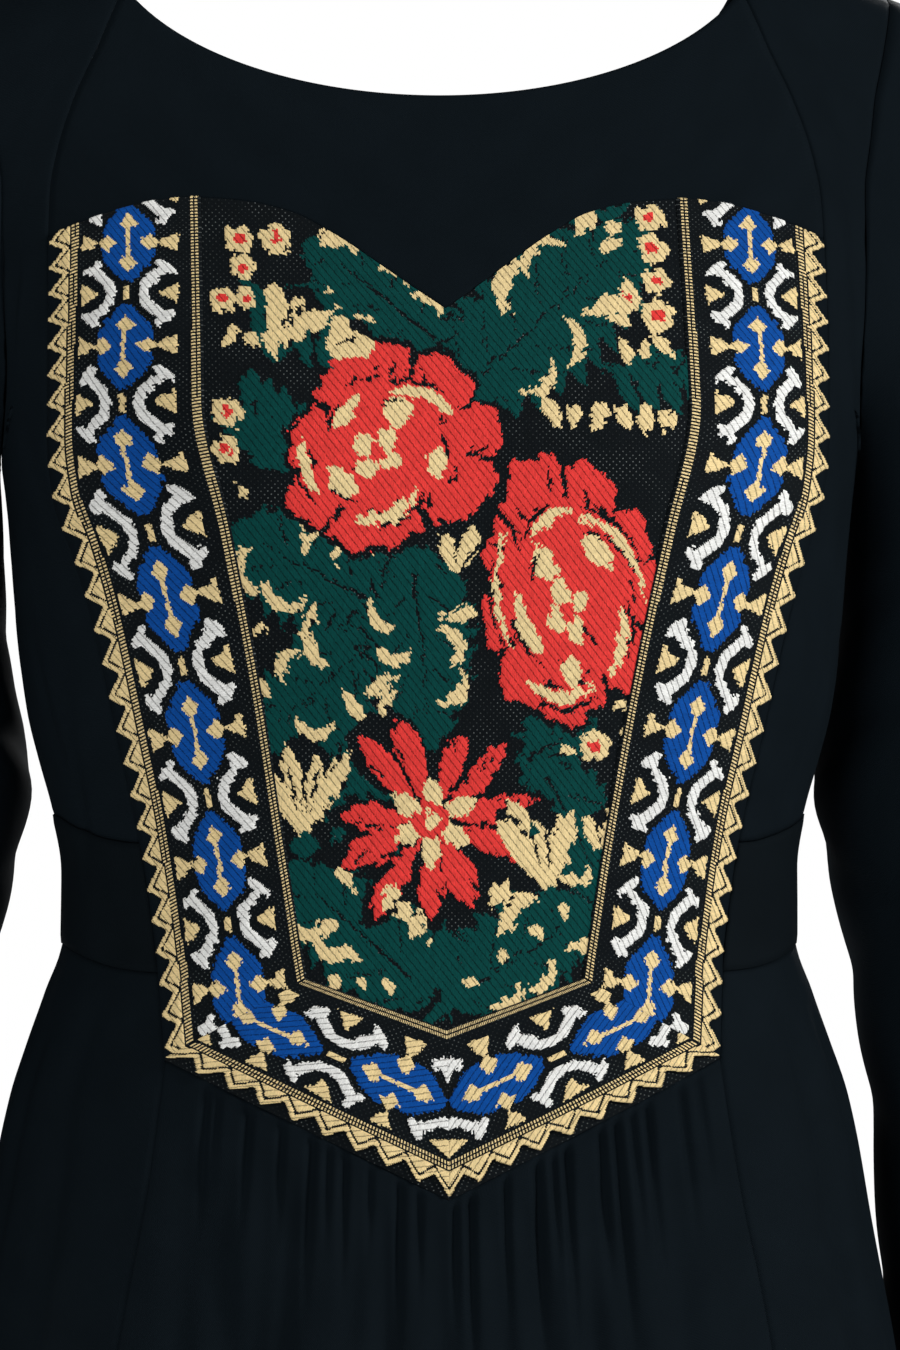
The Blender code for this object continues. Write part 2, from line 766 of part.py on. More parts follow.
def make_skirt_side(word, side):
    """Skirt from the front seam to the side seam."""
    inner = []
    beside_panel = panel_edge_heights()[-PANEL_ROWS_BELOW_BELT - 1:-1]
    for height in beside_panel:
        inner.append((turn_of(panel_edge_at(height), height), height))
    for index in range(SKIRT_FRONT_ROWS + 1):
        height = blend(SKIRT_SEAM[0].height, HEM, (index / SKIRT_FRONT_ROWS) ** 1.15)
        inner.append((turn_of(skirt_seam_at(height), height), height))
    rows = len(inner) - 1
    outer = [(math.pi / 2, blend(BELT_FOOT_AT_SIDE, HEM, index / rows)) for index in range(rows + 1)]
    grid = between_edges(inner, outer, SKIRT_SIDE_COLUMNS, side)
    wall("skirt_side_" + word, [pull_in(grid)], BLACK_CLOTH)


def make_skirt_back(word, side):
    rows = SKIRT_SIDE_ROWS
    heights = [blend(BELT_FOOT_AT_SIDE, HEM, index / rows) for index in range(rows + 1)]
    outer = [(math.pi / 2, height) for height in heights]
    centre = [(math.pi, height) for height in heights]
    grid = between_edges(outer, centre, SKIRT_BACK_COLUMNS, side)
    wall("skirt_back_" + word, [pull_in(grid)], BLACK_CLOTH)


def armhole_loop():
    """The armhole seam's points, from the shoulder down the front and up the back."""
    last = len(ARMHOLE) - 1
    stations = [arm_station(index) for index in range(last + 1)]
    stations += [arm_station(index, behind=True) for index in range(last - 1, 0, -1)]
    return [folded_form(turn, height) for turn, height in stations]


def crease_inward(angle, height):
    """How far the creases sink the sleeve at a place round it and a height."""
    depth = 0.0
    for crease in SLEEVE_CREASES:
        line = crease.height + crease.slant * math.sin(angle)
        near = math.exp(-((height - line) / crease.width) ** 2)
        depth += crease.depth * near * (0.55 + 0.45 * math.sin(angle))
    return depth


def sleeve_point(angle, height):
    """A point of the right sleeve. Angle 0 is its outer side, and a quarter turn its front."""
    half = sleeve_wide_at(height) / 2
    middle_across = sleeve_inner_at(height) + half
    sunk = crease_inward(angle, height)
    across = middle_across + (half - sunk) * math.cos(angle)
    y = sleeve_middle_at(height) - (sleeve_deep_at(height) / 2 - sunk) * math.sin(angle)
    return Vector((across, y, height))


def cap_point(seam_point, angle, share):
    """A point of the sleeve's cap, from the armhole seam to the top of the arm's tube."""
    end = sleeve_point(angle, SLEEVE[0].height)
    reach = (end - seam_point).length
    outward = Vector((1.0, 0.0, -CAP_LEAN * max(0.0, math.cos(angle)))).normalized()
    outward = outward * max(0.08, (1 + math.cos(angle)) / 2)
    first = seam_point + outward * reach * CAP_START_PULL
    second = end + Vector((0, 0, 1)) * reach * CAP_END_PULL
    rest = 1 - share
    return (seam_point * rest ** 3 + first * 3 * rest ** 2 * share
            + second * 3 * rest * share ** 2 + end * share ** 3)


def with_facing(rows):
    """Give each point of a tube the way it faces, from its neighbours."""
    grid = []
    for index, row in enumerate(rows):
        above = rows[max(index - 1, 0)]
        below = rows[min(index + 1, len(rows) - 1)]
        faced = []
        for place, point in enumerate(row):
            ahead = row[(place + 1) % len(row)]
            behind = row[place - 1]
            way = (behind - ahead).cross(above[place] - below[place])
            faced.append((point, way.normalized()))
        grid.append(faced)
    return grid


def sleeve_rows():
    """Loops of points down the right sleeve."""
    seam = armhole_loop()
    count = len(seam)
    angles = [2 * math.pi * place / count for place in range(count)]
    rows = []
    for index in range(CAP_ROWS + 1):
        share = index / CAP_ROWS
        rows.append([cap_point(seam[i], angles[i], share) for i in range(count)])
    start = SLEEVE[0].height
    for index in range(1, SLEEVE_ROWS_BELOW + 1):
        height = blend(start, SLEEVE[-1].height, index / SLEEVE_ROWS_BELOW)
        rows.append([sleeve_point(angle, height) for angle in angles])
    return rows


def make_sleeve(word, side):
    """A set-in sleeve, open at the armhole and at its end."""
    rows = [[Vector((side * p.x, p.y, p.z)) for p in row] for row in sleeve_rows()]
    if side < 0:
        rows = [row[::-1] for row in rows]
    first = [p + (q - p).normalized() * SEAM_GAP * 2 for p, q in zip(rows[0], rows[1])]
    grid = with_facing([first] + rows[1:])
    wall("sleeve_" + word, [grid], BLACK_CLOTH, closed=True)


def clear_scene():
    for thing in list(bpy.data.objects):
        bpy.data.objects.remove(thing, do_unlink=True)


def main():
    clear_scene()
    make_yoke()
    make_panel()
    make_skirt_front()
    for word, side in (("left", -1), ("right", 1)):
        make_side_front(word, side)
        make_back(word, side)
        make_belt(word, side)
        make_skirt_side(word, side)
        make_skirt_back(word, side)
        make_sleeve(word, side)


main()
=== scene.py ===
import math
import bmesh
import bpy
import numpy as np
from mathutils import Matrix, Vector


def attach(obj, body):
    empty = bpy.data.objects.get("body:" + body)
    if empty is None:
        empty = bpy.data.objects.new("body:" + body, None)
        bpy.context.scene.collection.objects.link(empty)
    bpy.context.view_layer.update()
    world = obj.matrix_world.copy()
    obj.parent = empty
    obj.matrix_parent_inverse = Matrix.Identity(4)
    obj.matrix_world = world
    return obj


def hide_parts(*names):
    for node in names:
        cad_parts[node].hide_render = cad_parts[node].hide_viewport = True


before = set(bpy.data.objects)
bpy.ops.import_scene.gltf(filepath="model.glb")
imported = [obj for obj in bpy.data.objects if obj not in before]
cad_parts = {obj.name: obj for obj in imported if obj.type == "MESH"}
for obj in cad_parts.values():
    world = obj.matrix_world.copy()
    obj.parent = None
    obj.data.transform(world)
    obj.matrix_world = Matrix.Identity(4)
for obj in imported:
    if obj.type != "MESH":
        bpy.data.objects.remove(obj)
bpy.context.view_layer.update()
mm = 0.001


# The garment's form, in millimetres. It is the same form as the solids have.
form = {"neckHalfWidth": 125.0, "neckDrop": 64.3, "backNeckDrop": 72.0, "shoulderSlope": 0.415,
        "slopeFadesAt": -120.0, "ridgeRound": 32.0, "power": 2.2, "underarm": -205.0, "hem": -640.0,
        "foldsStart": -392.0, "foldEase": 22.0}
bust = {"height": -205.0, "apart": 84.0, "spread": 46.0, "full": 7.0}
sections = {
    "height": [0, -30, -68, -95, -120, -145, -168, -190, -215, -243, -273, -297, -315, -335, -357, -384,
               -404, -423, -443, -489, -540, -640],
    "halfWidth": [260, 252, 234, 210, 193, 181, 171, 165.5, 162, 159.5, 157, 153.5, 149, 143.5, 140, 140,
                  146.5, 153.5, 160, 169, 178.5, 194],
    "front": [40, 47, 58, 71, 87, 104, 117, 125, 127, 125, 120, 115, 111, 107, 105, 105,
              109, 114, 119, 129, 136, 148],
    "back": [40, 52, 68, 76, 82, 87, 89, 90, 89, 86, 81, 74, 69, 65, 64, 67, 76, 85, 93, 104, 112, 124],
    "middle": [0, 0, -2, -4, -7, -10, -13, -15, -16, -16, -17, -18, -18, -19, -19, -18,
               -17, -16, -16, -16, -16, -16]}
armhole = {"station": list(range(11)),
           "turn": [41.2, 41.0, 41.6, 43.6, 49.5, 56.5, 63.0, 70.5, 78.0, 85.0, 90.0],
           "height": [0, -22, -45, -68, -95, -120, -145, -168, -187, -200, -205]}
princess = {"height": [-22, -42, -62, -82, -101, -118.8], "across": [117.4, 126, 136, 142.5, 145.8, 146.5]}
panelEdge = {"height": [-118.8, -196, -218, -239, -263, -306, -346, -394, -426],
             "across": [146.5, 147, 144.7, 137.5, 130.5, 121, 112.5, 106, 103.8]}
ribbonInner = {"height": [-104.3, -181, -229, -282, -341, -396], "across": [90, 90, 80, 69.6, 60, 51.4]}
panelTop = {"across": [0, 12.2, 24.8, 39.6, 55.5, 74, 90, 104.7, 117.7, 137, 146.5],
            "height": [-147.3, -138.8, -129.5, -119, -110, -105.5, -104.3, -105.5, -108.4, -114.8, -118.8]}
skirtSeam = {"height": [-426, -450, -483, -510, -532, -640], "across": [103.8, 107, 112, 117.5, 121.5, 136]}
sleeve = {
    "height": [-238, -262, -286, -306, -324, -350, -385, -420, -454, -517, -560, -600],
    "innerEdge": [162, 160.3, 157.5, 153.3, 150, 155, 163, 169, 174.5, 178, 184, 191],
    "wide": [108, 108, 109, 111, 113, 109.5, 104, 101, 98.5, 98, 96, 94],
    "deep": [116, 114, 112, 110, 108, 107, 105, 104, 102, 100, 98, 96],
    "middle": [4, 7, 10, 12, 13, 15, 16, 17, 18, 18, 16, 14]}
points = {"innerTop": -104.3, "outerTop": -118.8, "innerFoot": -396.0, "outerFoot": -426.0,
          "innerPoint": -414.5, "outerPoint": -476.6, "beltTopAtPanel": -346.0, "beltTopAtSide": -336.0,
          "beltFootAtPanel": -394.0, "beltFootAtSide": -385.0, "princessTop": -22.0}
ribbonAcross = {"innerTop": 90.0, "outerTop": 146.5, "innerFoot": 51.4, "outerFoot": 103.8}

# Folds of the skirt front: across and height at the top, across and height below, depth, width
frontFolds = [
    (-96, -446, -104, -640, 3.0, 6.5), (-91, -452, -70, -640, 4.5, 8.0), (-78, -450, -83, -500, 2.2, 4.5),
    (-66, -456, -79, -640, 3.6, 5.5), (-57, -460, -70, -640, 4.2, 5.0), (-32, -466, -38, -540, 2.4, 5.0),
    (-24.7, -470, -22, -640, 4.6, 4.8), (-4, -474, -1, -640, 3.4, 6.0), (15.3, -472, 31, -640, 4.8, 5.0),
    (27, -466, 47, -640, 5.2, 7.0), (50.4, -462, 60, -640, 4.6, 5.5), (52.7, -456, 84, -600, 3.2, 5.5),
    (81.9, -448, 97, -640, 3.4, 7.0)]
# Folds round the sides and the back: angle and height at the top, angle and height below, depth, width
roundFolds = [
    (-60, -400, -57, -640, 3.6, 3.2), (-76, -404, -80, -640, 4.2, 3.8), (-97, -400, -100, -640, 3.6, 3.4),
    (-113, -398, -117, -640, 4.4, 3.6), (-128, -402, -134, -640, 4.0, 3.6),
    (-146, -398, -149, -640, 4.6, 3.6), (-165, -400, -168, -640, 4.0, 3.8), (60, -402, 63, -640, 4.0, 3.4),
    (77, -400, 82, -640, 3.6, 3.6), (99, -402, 97, -640, 4.2, 3.4), (115, -398, 119, -640, 4.0, 3.8),
    (131, -400, 133, -640, 4.4, 3.4), (149, -400, 153, -640, 4.2, 3.6), (168, -398, 170, -640, 4.4, 3.6)]
# Creases of the sleeve: height at the front, slant, depth, width
sleeveCreases = [(-268, 26, 2.2, 9), (-318, 34, 3.4, 10), (-352, -30, 3.0, 10), (-392, 28, 3.2, 11),
                 (-452, -32, 2.6, 12), (-512, 30, 2.4, 12), (-562, -24, 2.0, 12)]


def smoothLine(columns, key, value):
    # a smooth line through a column, with no waves between its rows
    order = np.argsort(columns[key])
    keys = np.array(columns[key], float)[order]
    values = np.array(columns[value], float)[order]
    steps = np.diff(values) / np.diff(keys)
    slopes = np.zeros(len(keys))
    slopes[0], slopes[-1] = steps[0], steps[-1]
    for i in range(1, len(keys) - 1):
        before, after = steps[i - 1], steps[i]
        slopes[i] = 0.0 if before * after <= 0 else 2 * before * after / (before + after)

    def read(at):
        at = np.clip(np.asarray(at, float), keys[0], keys[-1])
        i = np.clip(np.searchsorted(keys, at, side="left") - 1, 0, len(keys) - 2)
        span = keys[i + 1] - keys[i]
        t = (at - keys[i]) / span
        start = values[i] * (1 + 2 * t) + slopes[i] * span * t
        end = values[i + 1] * (3 - 2 * t) + slopes[i + 1] * span * (t - 1)
        return start * (1 - t) ** 2 + end * t ** 2

    return read


def linesDown(columns, *values):
    return [smoothLine(columns, "height", value) for value in values]


halfWidthAt, frontAt, backAt, middleAt = linesDown(sections, "halfWidth", "front", "back", "middle")
sleeveInnerAt, sleeveWideAt, sleeveDeepAt, sleeveMiddleAt = linesDown(
    sleeve, "innerEdge", "wide", "deep", "middle")
panelEdgeAt, ribbonInnerAt, princessAt, skirtSeamAt = [
    smoothLine(seam, "height", "across") for seam in (panelEdge, ribbonInner, princess, skirtSeam)]
panelTopAt = smoothLine(panelTop, "across", "height")


def ease(t):
    t = np.clip(t, 0.0, 1.0)
    return t * t * (3 - 2 * t)


def mix(a, b, t):
    return a + (b - a) * t


def smoothForm(turn, height):
    # turn is the angle from the centre front, height is below the shoulder line
    sine, cosine = np.sin(turn), np.cos(turn)
    across = np.sign(sine) * halfWidthAt(height) * np.abs(sine) ** (2 / form["power"])
    roundOver = np.sqrt(1 - (1 - np.minimum(-height / form["ridgeRound"], 1.0)) ** 2)
    deep = np.abs(cosine) ** (2 / form["power"])
    middle = middleAt(height)
    reach = (np.abs(across) - bust["apart"]) ** 2 + (height - bust["height"]) ** 2
    full = bust["full"] * np.exp(-reach / bust["spread"] ** 2)
    front = middle - (frontAt(height) + middle + full) * deep
    back = middle + (backAt(height) - middle) * deep
    y = np.where(cosine >= 0, front, back) * roundOver
    beyond = np.maximum(0.0, np.abs(across) - form["neckHalfWidth"])
    drop = form["shoulderSlope"] * beyond * (1 - ease(height / form["slopeFadesAt"]))
    return np.stack([across, y, height - drop], axis=-1)


def turnOf(across, height):
    share = np.minimum(np.abs(across) / halfWidthAt(height), 1.0)
    return np.copysign(np.arcsin(share ** (form["power"] / 2)), across)


def frontAcross(turn, height):
    return np.sign(turn) * halfWidthAt(height) * np.abs(np.sin(turn)) ** (2 / form["power"])


def foldStrength(height, top, low):
    started = ease((top - height) / form["foldEase"])
    ended = 1.0 if low <= form["hem"] else ease((height - low) / form["foldEase"])
    return started * ended * (0.55 + 0.45 * ease((top - height) / 120.0))


def foldInward(turn, height):
    depth = np.zeros_like(height)
    onFront = np.abs(turn) < math.pi / 2
    around = ((frontAcross(turn, height), frontFolds, onFront), (np.degrees(turn), roundFolds, 1.0))
    for place, folds, where in around:
        for topPlace, top, lowPlace, low, deep, wide in folds:
            line = mix(topPlace, lowPlace, (top - height) / (top - low))
            near = np.exp(-((place - line) / wide) ** 2) * where
            depth += deep * near * foldStrength(height, top, low)
    return np.where(height > form["foldsStart"], 0.0, depth)


def unit(vectors):
    return vectors / np.maximum(np.linalg.norm(vectors, axis=-1, keepdims=True), 1e-9)


def facingOf(surface, turn, height):
    step = 0.4
    lower = surface(turn, height - step)
    upper = surface(turn, np.minimum(height + step, -0.01))
    along = surface(turn + 0.004, height) - surface(turn - 0.004, height)
    way = unit(np.cross(along, upper - lower))
    ridge = surface(turn + 0.01, np.zeros_like(height)) - surface(turn - 0.01, np.zeros_like(height))
    up = unit(np.cross(ridge, np.array([0.0, 1.0, 0.0])))
    up = up * np.where(up[..., 2:] < 0, -1.0, 1.0)
    return np.where((height > -1.0)[..., None], up, way)


def foldedForm(turn, height):
    inward = foldInward(turn, height)[..., None]
    return smoothForm(turn, height) - facingOf(smoothForm, turn, height) * inward


print("form ready")


# Fine gathers under the seam of the point: across, how far they reach down, depth and width
gatherCut = {"startsOver": 5.0, "fullShare": 0.3, "spread": 0.0011, "deeper": 1.8}
gathers = [
    (-88, 52, 1.3, 1.6), (-84, 34, 1.0, 1.4), (-73, 46, 1.4, 1.6), (-61, 40, 1.2, 1.5), (-50, 62, 1.6, 1.7),
    (-44, 36, 1.2, 1.4), (-38, 50, 1.4, 1.5), (-29, 34, 1.0, 1.4), (-18, 58, 1.7, 1.7), (-11, 40, 1.3, 1.5),
    (2, 46, 1.4, 1.5), (8, 70, 1.9, 1.8), (21, 52, 1.6, 1.6), (33, 66, 1.9, 1.7), (39, 44, 1.5, 1.5),
    (44, 76, 2.0, 1.8), (57, 56, 1.7, 1.6), (63, 78, 2.0, 1.8), (69, 48, 1.5, 1.5), (75, 64, 1.8, 1.7),
    (88, 54, 1.5, 1.6), (95, 40, 1.2, 1.5)]


def gatherInward(turn, height):
    depth = np.zeros_like(height)
    across = frontAcross(turn, height)
    share = np.minimum(np.abs(across) / ribbonAcross["outerFoot"], 1.0)
    under = mix(points["outerPoint"], points["outerFoot"], share) - height
    for middle, reach, deep, wide in gathers:
        line = middle * (1 + gatherCut["spread"] * under)
        ended = ease((under - gatherCut["fullShare"] * reach) / reach)
        faded = ease(under / gatherCut["startsOver"]) * (1 - ended)
        depth += gatherCut["deeper"] * deep * np.exp(-((across - line) / wide) ** 2) * faded
    return np.where((np.abs(turn) < math.pi / 2) & (under > 0), depth, 0.0)


# Soft, uneven relief of the cloth itself: long shallow drags and small puckers, in millimetres
drags = [
    # angle from the front, height, length, width, depth, lean of the crease
    (52, -150, 46, 7, 0.9, 0.35), (-55, -158, 52, 7, 1.0, -0.30), (60, -232, 40, 6, 1.1, 0.55),
    (-63, -228, 44, 6, 1.0, -0.50), (70, -286, 36, 5, 1.2, 0.25), (-72, -292, 34, 5, 1.2, -0.22),
    (66, -318, 30, 4.5, 1.0, -0.15), (-66, -322, 32, 4.5, 1.1, 0.18), (84, -262, 40, 6, 1.2, 0.4),
    (-86, -258, 38, 6, 1.1, -0.4), (120, -250, 60, 8, 1.6, 0.30), (-122, -262, 60, 8, 1.5, -0.32),
    (140, -300, 54, 6, 1.5, 0.15), (-143, -306, 52, 6, 1.6, -0.12), (160, -282, 50, 7, 1.4, 0.1),
    (-162, -276, 48, 7, 1.4, -0.1), (128, -322, 40, 5, 1.3, -0.1), (-131, -324, 42, 5, 1.2, 0.12),
    (150, -150, 60, 9, 1.2, 0.5), (-150, -160, 60, 9, 1.2, -0.5)]


def dragInward(turn, height):
    depth = np.zeros_like(height)
    radius = halfWidthAt(height) * 0.9
    for degrees, middle, long, wide, deep, lean in drags:
        along = height - middle
        line = math.radians(degrees) + lean * along / radius
        off = (turn - line) * radius
        depth += deep * np.exp(-(off / wide) ** 2 - (along / long) ** 2)
    return depth


def clothForm(turn, height):
    # folds, drags and a slight unevenness of the cloth that hangs
    inward = foldInward(turn, height) + gatherInward(turn, height) + dragInward(turn, height)
    ripple = 0.35 * np.sin(turn * 23 + height * 0.031) * np.sin(height * 0.047 + turn * 5)
    inward += ripple * ease((-height - 150) / 120.0)
    return smoothForm(turn, height) - facingOf(smoothForm, turn, height) * inward[..., None]


def gridMesh(name, columns, rows):
    # a flat grid, with x and y from 0 to 1
    bm = bmesh.new()
    bmesh.ops.create_grid(bm, x_segments=columns, y_segments=rows, size=0.5)
    bmesh.ops.translate(bm, verts=bm.verts, vec=(0.5, 0.5, 0.0))
    mesh = bpy.data.meshes.new(name)
    bm.to_mesh(mesh)
    bm.free()
    places = np.empty(len(mesh.vertices) * 3)
    mesh.vertices.foreach_get("co", places)
    places = places.reshape(-1, 3)
    return mesh, places[:, 0].copy(), 1.0 - places[:, 1]


def cornersOf(mesh):
    # the point at each cell's corners, four for each cell
    corners = np.empty(len(mesh.loops), int)
    mesh.loops.foreach_get("vertex_index", corners)
    return corners


def setPoints(mesh, pointsInMm):
    mesh.vertices.foreach_set("co", (pointsInMm * mm).ravel())
    mesh.update()


def setUv(mesh, across, down):
    # the cloth's own coordinates, in metres along the weave
    layer = mesh.uv_layers.new(name="cloth")
    corners = cornersOf(mesh)
    pairs = np.stack([across[corners], down[corners]], axis=-1) * mm
    layer.data.foreach_set("uv", pairs.ravel())


def addObject(name, data):
    thing = bpy.data.objects.new(name, data)
    bpy.context.scene.collection.objects.link(thing)
    return thing


def addPiece(name, mesh, material, replaced):
    thing = addObject(name, mesh)
    mesh.materials.append(material)
    mesh.shade_smooth()
    for node in replaced:
        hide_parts(node)
    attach(thing, "root")
    return thing


def thicken(thing, thickness):
    # the wall's thickness, measured inwards from the outer face
    wall = thing.modifiers.new("wall", "SOLIDIFY")
    wall.thickness = thickness * mm
    wall.offset = -1.0
    wall.use_even_offset = False
    wall.use_rim = True


# Colour and shader helpers
def toLinear(hexColour):
    # sRGB as it is read off a screen, to the linear values that the shader takes
    parts = [int(hexColour[i:i + 2], 16) / 255 for i in (1, 3, 5)]
    linear = [c / 12.92 if c <= 0.04045 else ((c + 0.055) / 1.055) ** 2.4 for c in parts]
    return tuple(linear) + (1.0,)


def addNode(tree, kind, inputs=None, **settings):
    made = tree.nodes.new(kind)
    for key, value in settings.items():
        setattr(made, key, value)
    for key, value in (inputs or {}).items():
        if isinstance(value, bpy.types.NodeSocket):
            tree.links.new(value, made.inputs[key])
        else:
            made.inputs[key].default_value = value
    return made


def newMaterial(name, look):
    material = bpy.data.materials.new(name)
    material.use_nodes = True
    tree = material.node_tree
    shader = tree.nodes["Principled BSDF"]
    shader.inputs["Base Color"].default_value = toLinear(look["colour"])
    shader.inputs["Roughness"].default_value = look["roughness"]
    shader.inputs["Specular IOR Level"].default_value = look["specular"]
    shader.inputs["Sheen Weight"].default_value = look["sheen"]
    shader.inputs["Sheen Roughness"].default_value = look["sheenRoughness"]
    shader.inputs["Sheen Tint"].default_value = toLinear(look["sheenTint"])
    return material, tree, shader


def clothPlace(tree):
    # the weave's own coordinates, in millimetres
    uv = addNode(tree, "ShaderNodeUVMap", uv_map="cloth")
    return addNode(tree, "ShaderNodeVectorMath", {0: uv.outputs["UV"], 1: (1 / mm, 1 / mm, 1.0)},
                   operation="MULTIPLY").outputs[0]


def calc(tree, operation, *values):
    return addNode(tree, "ShaderNodeMath", dict(enumerate(values)), operation=operation).outputs[0]


def spread(tree, value, fromRange, toRange):
    # a value's range, clamped and stretched to another
    names = ("From Min", "From Max", "To Min", "To Max")
    inputs = dict(zip(names, fromRange + toRange), Value=value)
    return addNode(tree, "ShaderNodeMapRange", inputs).outputs[0]


def noise(tree, place, scale, detail):
    inputs = {"Vector": place, "Scale": scale, "Detail": detail}
    return addNode(tree, "ShaderNodeTexNoise", inputs).outputs["Fac"]


def blendColours(tree, share, first, second):
    inputs = {"Factor": share, "A": first, "B": second}
    return addNode(tree, "ShaderNodeMix", inputs, data_type="RGBA").outputs["Result"]


def bumpOnto(tree, shader, strength, distance, height):
    bump = addNode(tree, "ShaderNodeBump", {"Strength": strength, "Distance": distance, "Height": height})
    tree.links.new(bump.outputs[0], shader.inputs["Normal"])


def plainWeave(name, look):
    # a piece-dyed twill: fine diagonal ribs, and soft clouds where the cloth has rubbed
    material, tree, shader = newMaterial(name, look)
    place = clothPlace(tree)
    turned = addNode(tree, "ShaderNodeMapping", {"Vector": place, "Rotation": (0.0, 0.0, look["lean"])})
    ribs = addNode(tree, "ShaderNodeTexWave", {"Vector": turned.outputs[0], "Scale": 0.314 / look["rib"],
                                               "Distortion": 0.6, "Detail": 1.0, "Detail Scale": 1.4},
                   wave_type="BANDS", bands_direction="X")
    fine = calc(tree, "ADD", ribs.outputs["Fac"], noise(tree, place, 0.7, 3.0))
    bumpOnto(tree, shader, look["bump"], 0.0002, fine)
    clouds = noise(tree, place, 0.035, 4.0)
    tone = blendColours(tree, clouds, toLinear(look["colour"]), toLinear(look["paler"]))
    tree.links.new(tone, shader.inputs["Base Color"])
    return material


# black viscose twill, piece dyed: gives the eye a deep blue-black that barely catches the light
twillLook = {"colour": "#0c1216", "paler": "#11181d", "roughness": 0.82, "specular": 0.015, "sheen": 0.006,
             "sheenRoughness": 0.45, "sheenTint": "#8fa0ad", "rib": 0.75, "lean": 0.9, "bump": 0.35}
blackTwill = plainWeave("black viscose twill", twillLook)
# the belt is the same twill cut across the grain: gives the eye a slightly darker, smoother band
beltLook = dict(twillLook, colour="#0b1013", paler="#0f1519", roughness=0.72, lean=-0.7)
beltTwill = plainWeave("black twill cut across the grain", beltLook)


# The garment's plain cloth
def seamDip(distance):
    # cloth sinks a little where it turns into a seam, distance in millimetres
    return 0.3 * np.exp(-(distance / 1.6) ** 2)


def wayAlong(net, axis):
    # how far along the cloth each point of a net is from the first of its row or column
    steps = np.linalg.norm(np.diff(net, axis=axis), axis=-1)
    return np.insert(np.cumsum(steps, axis=axis), 0, 0.0, axis=axis)


def arcLengths(spots, rows, columns):
    # each point's place along the cloth, across from the middle column and down from the top row
    net = spots.reshape(rows + 1, columns + 1, 3)[::-1]
    across = wayAlong(net, 1)
    across -= across[:, columns // 2][:, None]
    return across[::-1].ravel(), wayAlong(net, 0)[::-1].ravel()


def clothPiece(name, cut, placeOf, material, replaced, proud=0.0, surface=clothForm, form3d=None):
    # placeOf turns the two shares of the piece into an angle and a height on the garment
    columns, rows = cut["cells"]
    mesh, u, v = gridMesh(name, columns, rows)
    if form3d:
        spots = form3d(u, v)
    else:
        turn, height = placeOf(u, v)
        dip = np.zeros_like(u)
        for edge in cut.get("seams", ()):
            share, size = {"left": (u, 0), "right": (1 - u, 0), "top": (v, 1), "foot": (1 - v, 1)}[edge]
            dip += seamDip(share * cut["flat"][size])
        spots = surface(turn, height) + facingOf(surface, turn, height) * (proud - dip)[:, None]
    setPoints(mesh, spots)
    setUv(mesh, *arcLengths(spots, rows, columns))
    piece = addPiece(name, mesh, material, replaced)
    thicken(piece, cut.get("thick", 1.2))
    return piece


armholeTurnAt = smoothLine(armhole, "station", "turn")
armholeHeightAt = smoothLine(armhole, "station", "height")


def armholeSpot(station, behind=False):
    turn = np.radians(armholeTurnAt(station))
    return (np.pi - turn if behind else turn), armholeHeightAt(station)


def neckSpot(share, drop):
    angle = share * np.pi / 2
    return form["neckHalfWidth"] * np.cos(angle), -drop * np.sin(angle)


# front yoke
yoke = {"cells": (100, 40), "flat": (330, 100), "area": 0.0196, "held": "hung",
        "seams": ("left", "right", "foot")}


def yokePlace(u, v):
    place = 2 * u - 1
    half = princessAt(mix(points["princessTop"], points["outerTop"], v))
    neckAcross = np.minimum(np.abs(place) * princess["across"][0], form["neckHalfWidth"])
    atNeck = -form["neckDrop"] * np.sqrt(1 - (neckAcross / form["neckHalfWidth"]) ** 2)
    atPanel = panelTopAt(np.abs(place) * ribbonAcross["outerTop"])
    height = mix(atNeck, atPanel, v)
    return turnOf(place * half, height), height


clothPiece("front_yoke_cloth", yoke, yokePlace, blackTwill, ["front_yoke"])

# side fronts, from the shoulder to the belt
sideFront = {"cells": (34, 110), "flat": (100, 350), "area": 0.0175, "held": "hung",
             "seams": ("left", "right", "foot")}
neckStart = math.asin(-points["princessTop"] / form["neckDrop"]) / (math.pi / 2)


def sideFrontInner(t):
    neckAcross, neckHeight = neckSpot(neckStart * np.minimum(t / 2, 1.0), form["neckDrop"])
    princessHeight = mix(points["princessTop"], points["outerTop"], np.clip((t - 2) / 5, 0, 1))
    edgeHeight = mix(points["outerTop"], points["beltTopAtPanel"], np.clip((t - 7) / 13, 0, 1))
    height = np.where(t < 2, neckHeight, np.where(t < 7, princessHeight, edgeHeight))
    across = np.where(t < 2, neckAcross, np.where(t < 7, princessAt(princessHeight), panelEdgeAt(edgeHeight)))
    return turnOf(across, height), height


def outFrom(side, u):
    # the share of a piece's columns, counted outwards from the middle on either side
    return u if side > 0 else 1 - u


def mirrored(placeOf):
    # the same piece on either side of the garment
    def forSide(side):
        def place(u, v):
            turn, height = placeOf(outFrom(side, u), v)
            return side * turn, height
        return place
    return forSide


@mirrored
def sideFrontPlace(fromPanel, v):
    t = v * 20
    innerTurn, innerHeight = sideFrontInner(t)
    armTurn, armHeight = armholeSpot(np.minimum(t, 10.0))
    sideHeight = mix(form["underarm"], points["beltTopAtSide"], np.clip((t - 10) / 10, 0, 1))
    outerTurn = np.where(t < 10, armTurn, np.pi / 2)
    outerHeight = np.where(t < 10, armHeight, sideHeight)
    return mix(innerTurn, outerTurn, fromPanel), mix(innerHeight, outerHeight, ease(fromPanel))


# backs, with the centre seam between them
back = {"cells": (60, 110), "flat": (215, 350), "area": 0.0578, "held": "hung",
        "seams": ("left", "right", "foot")}


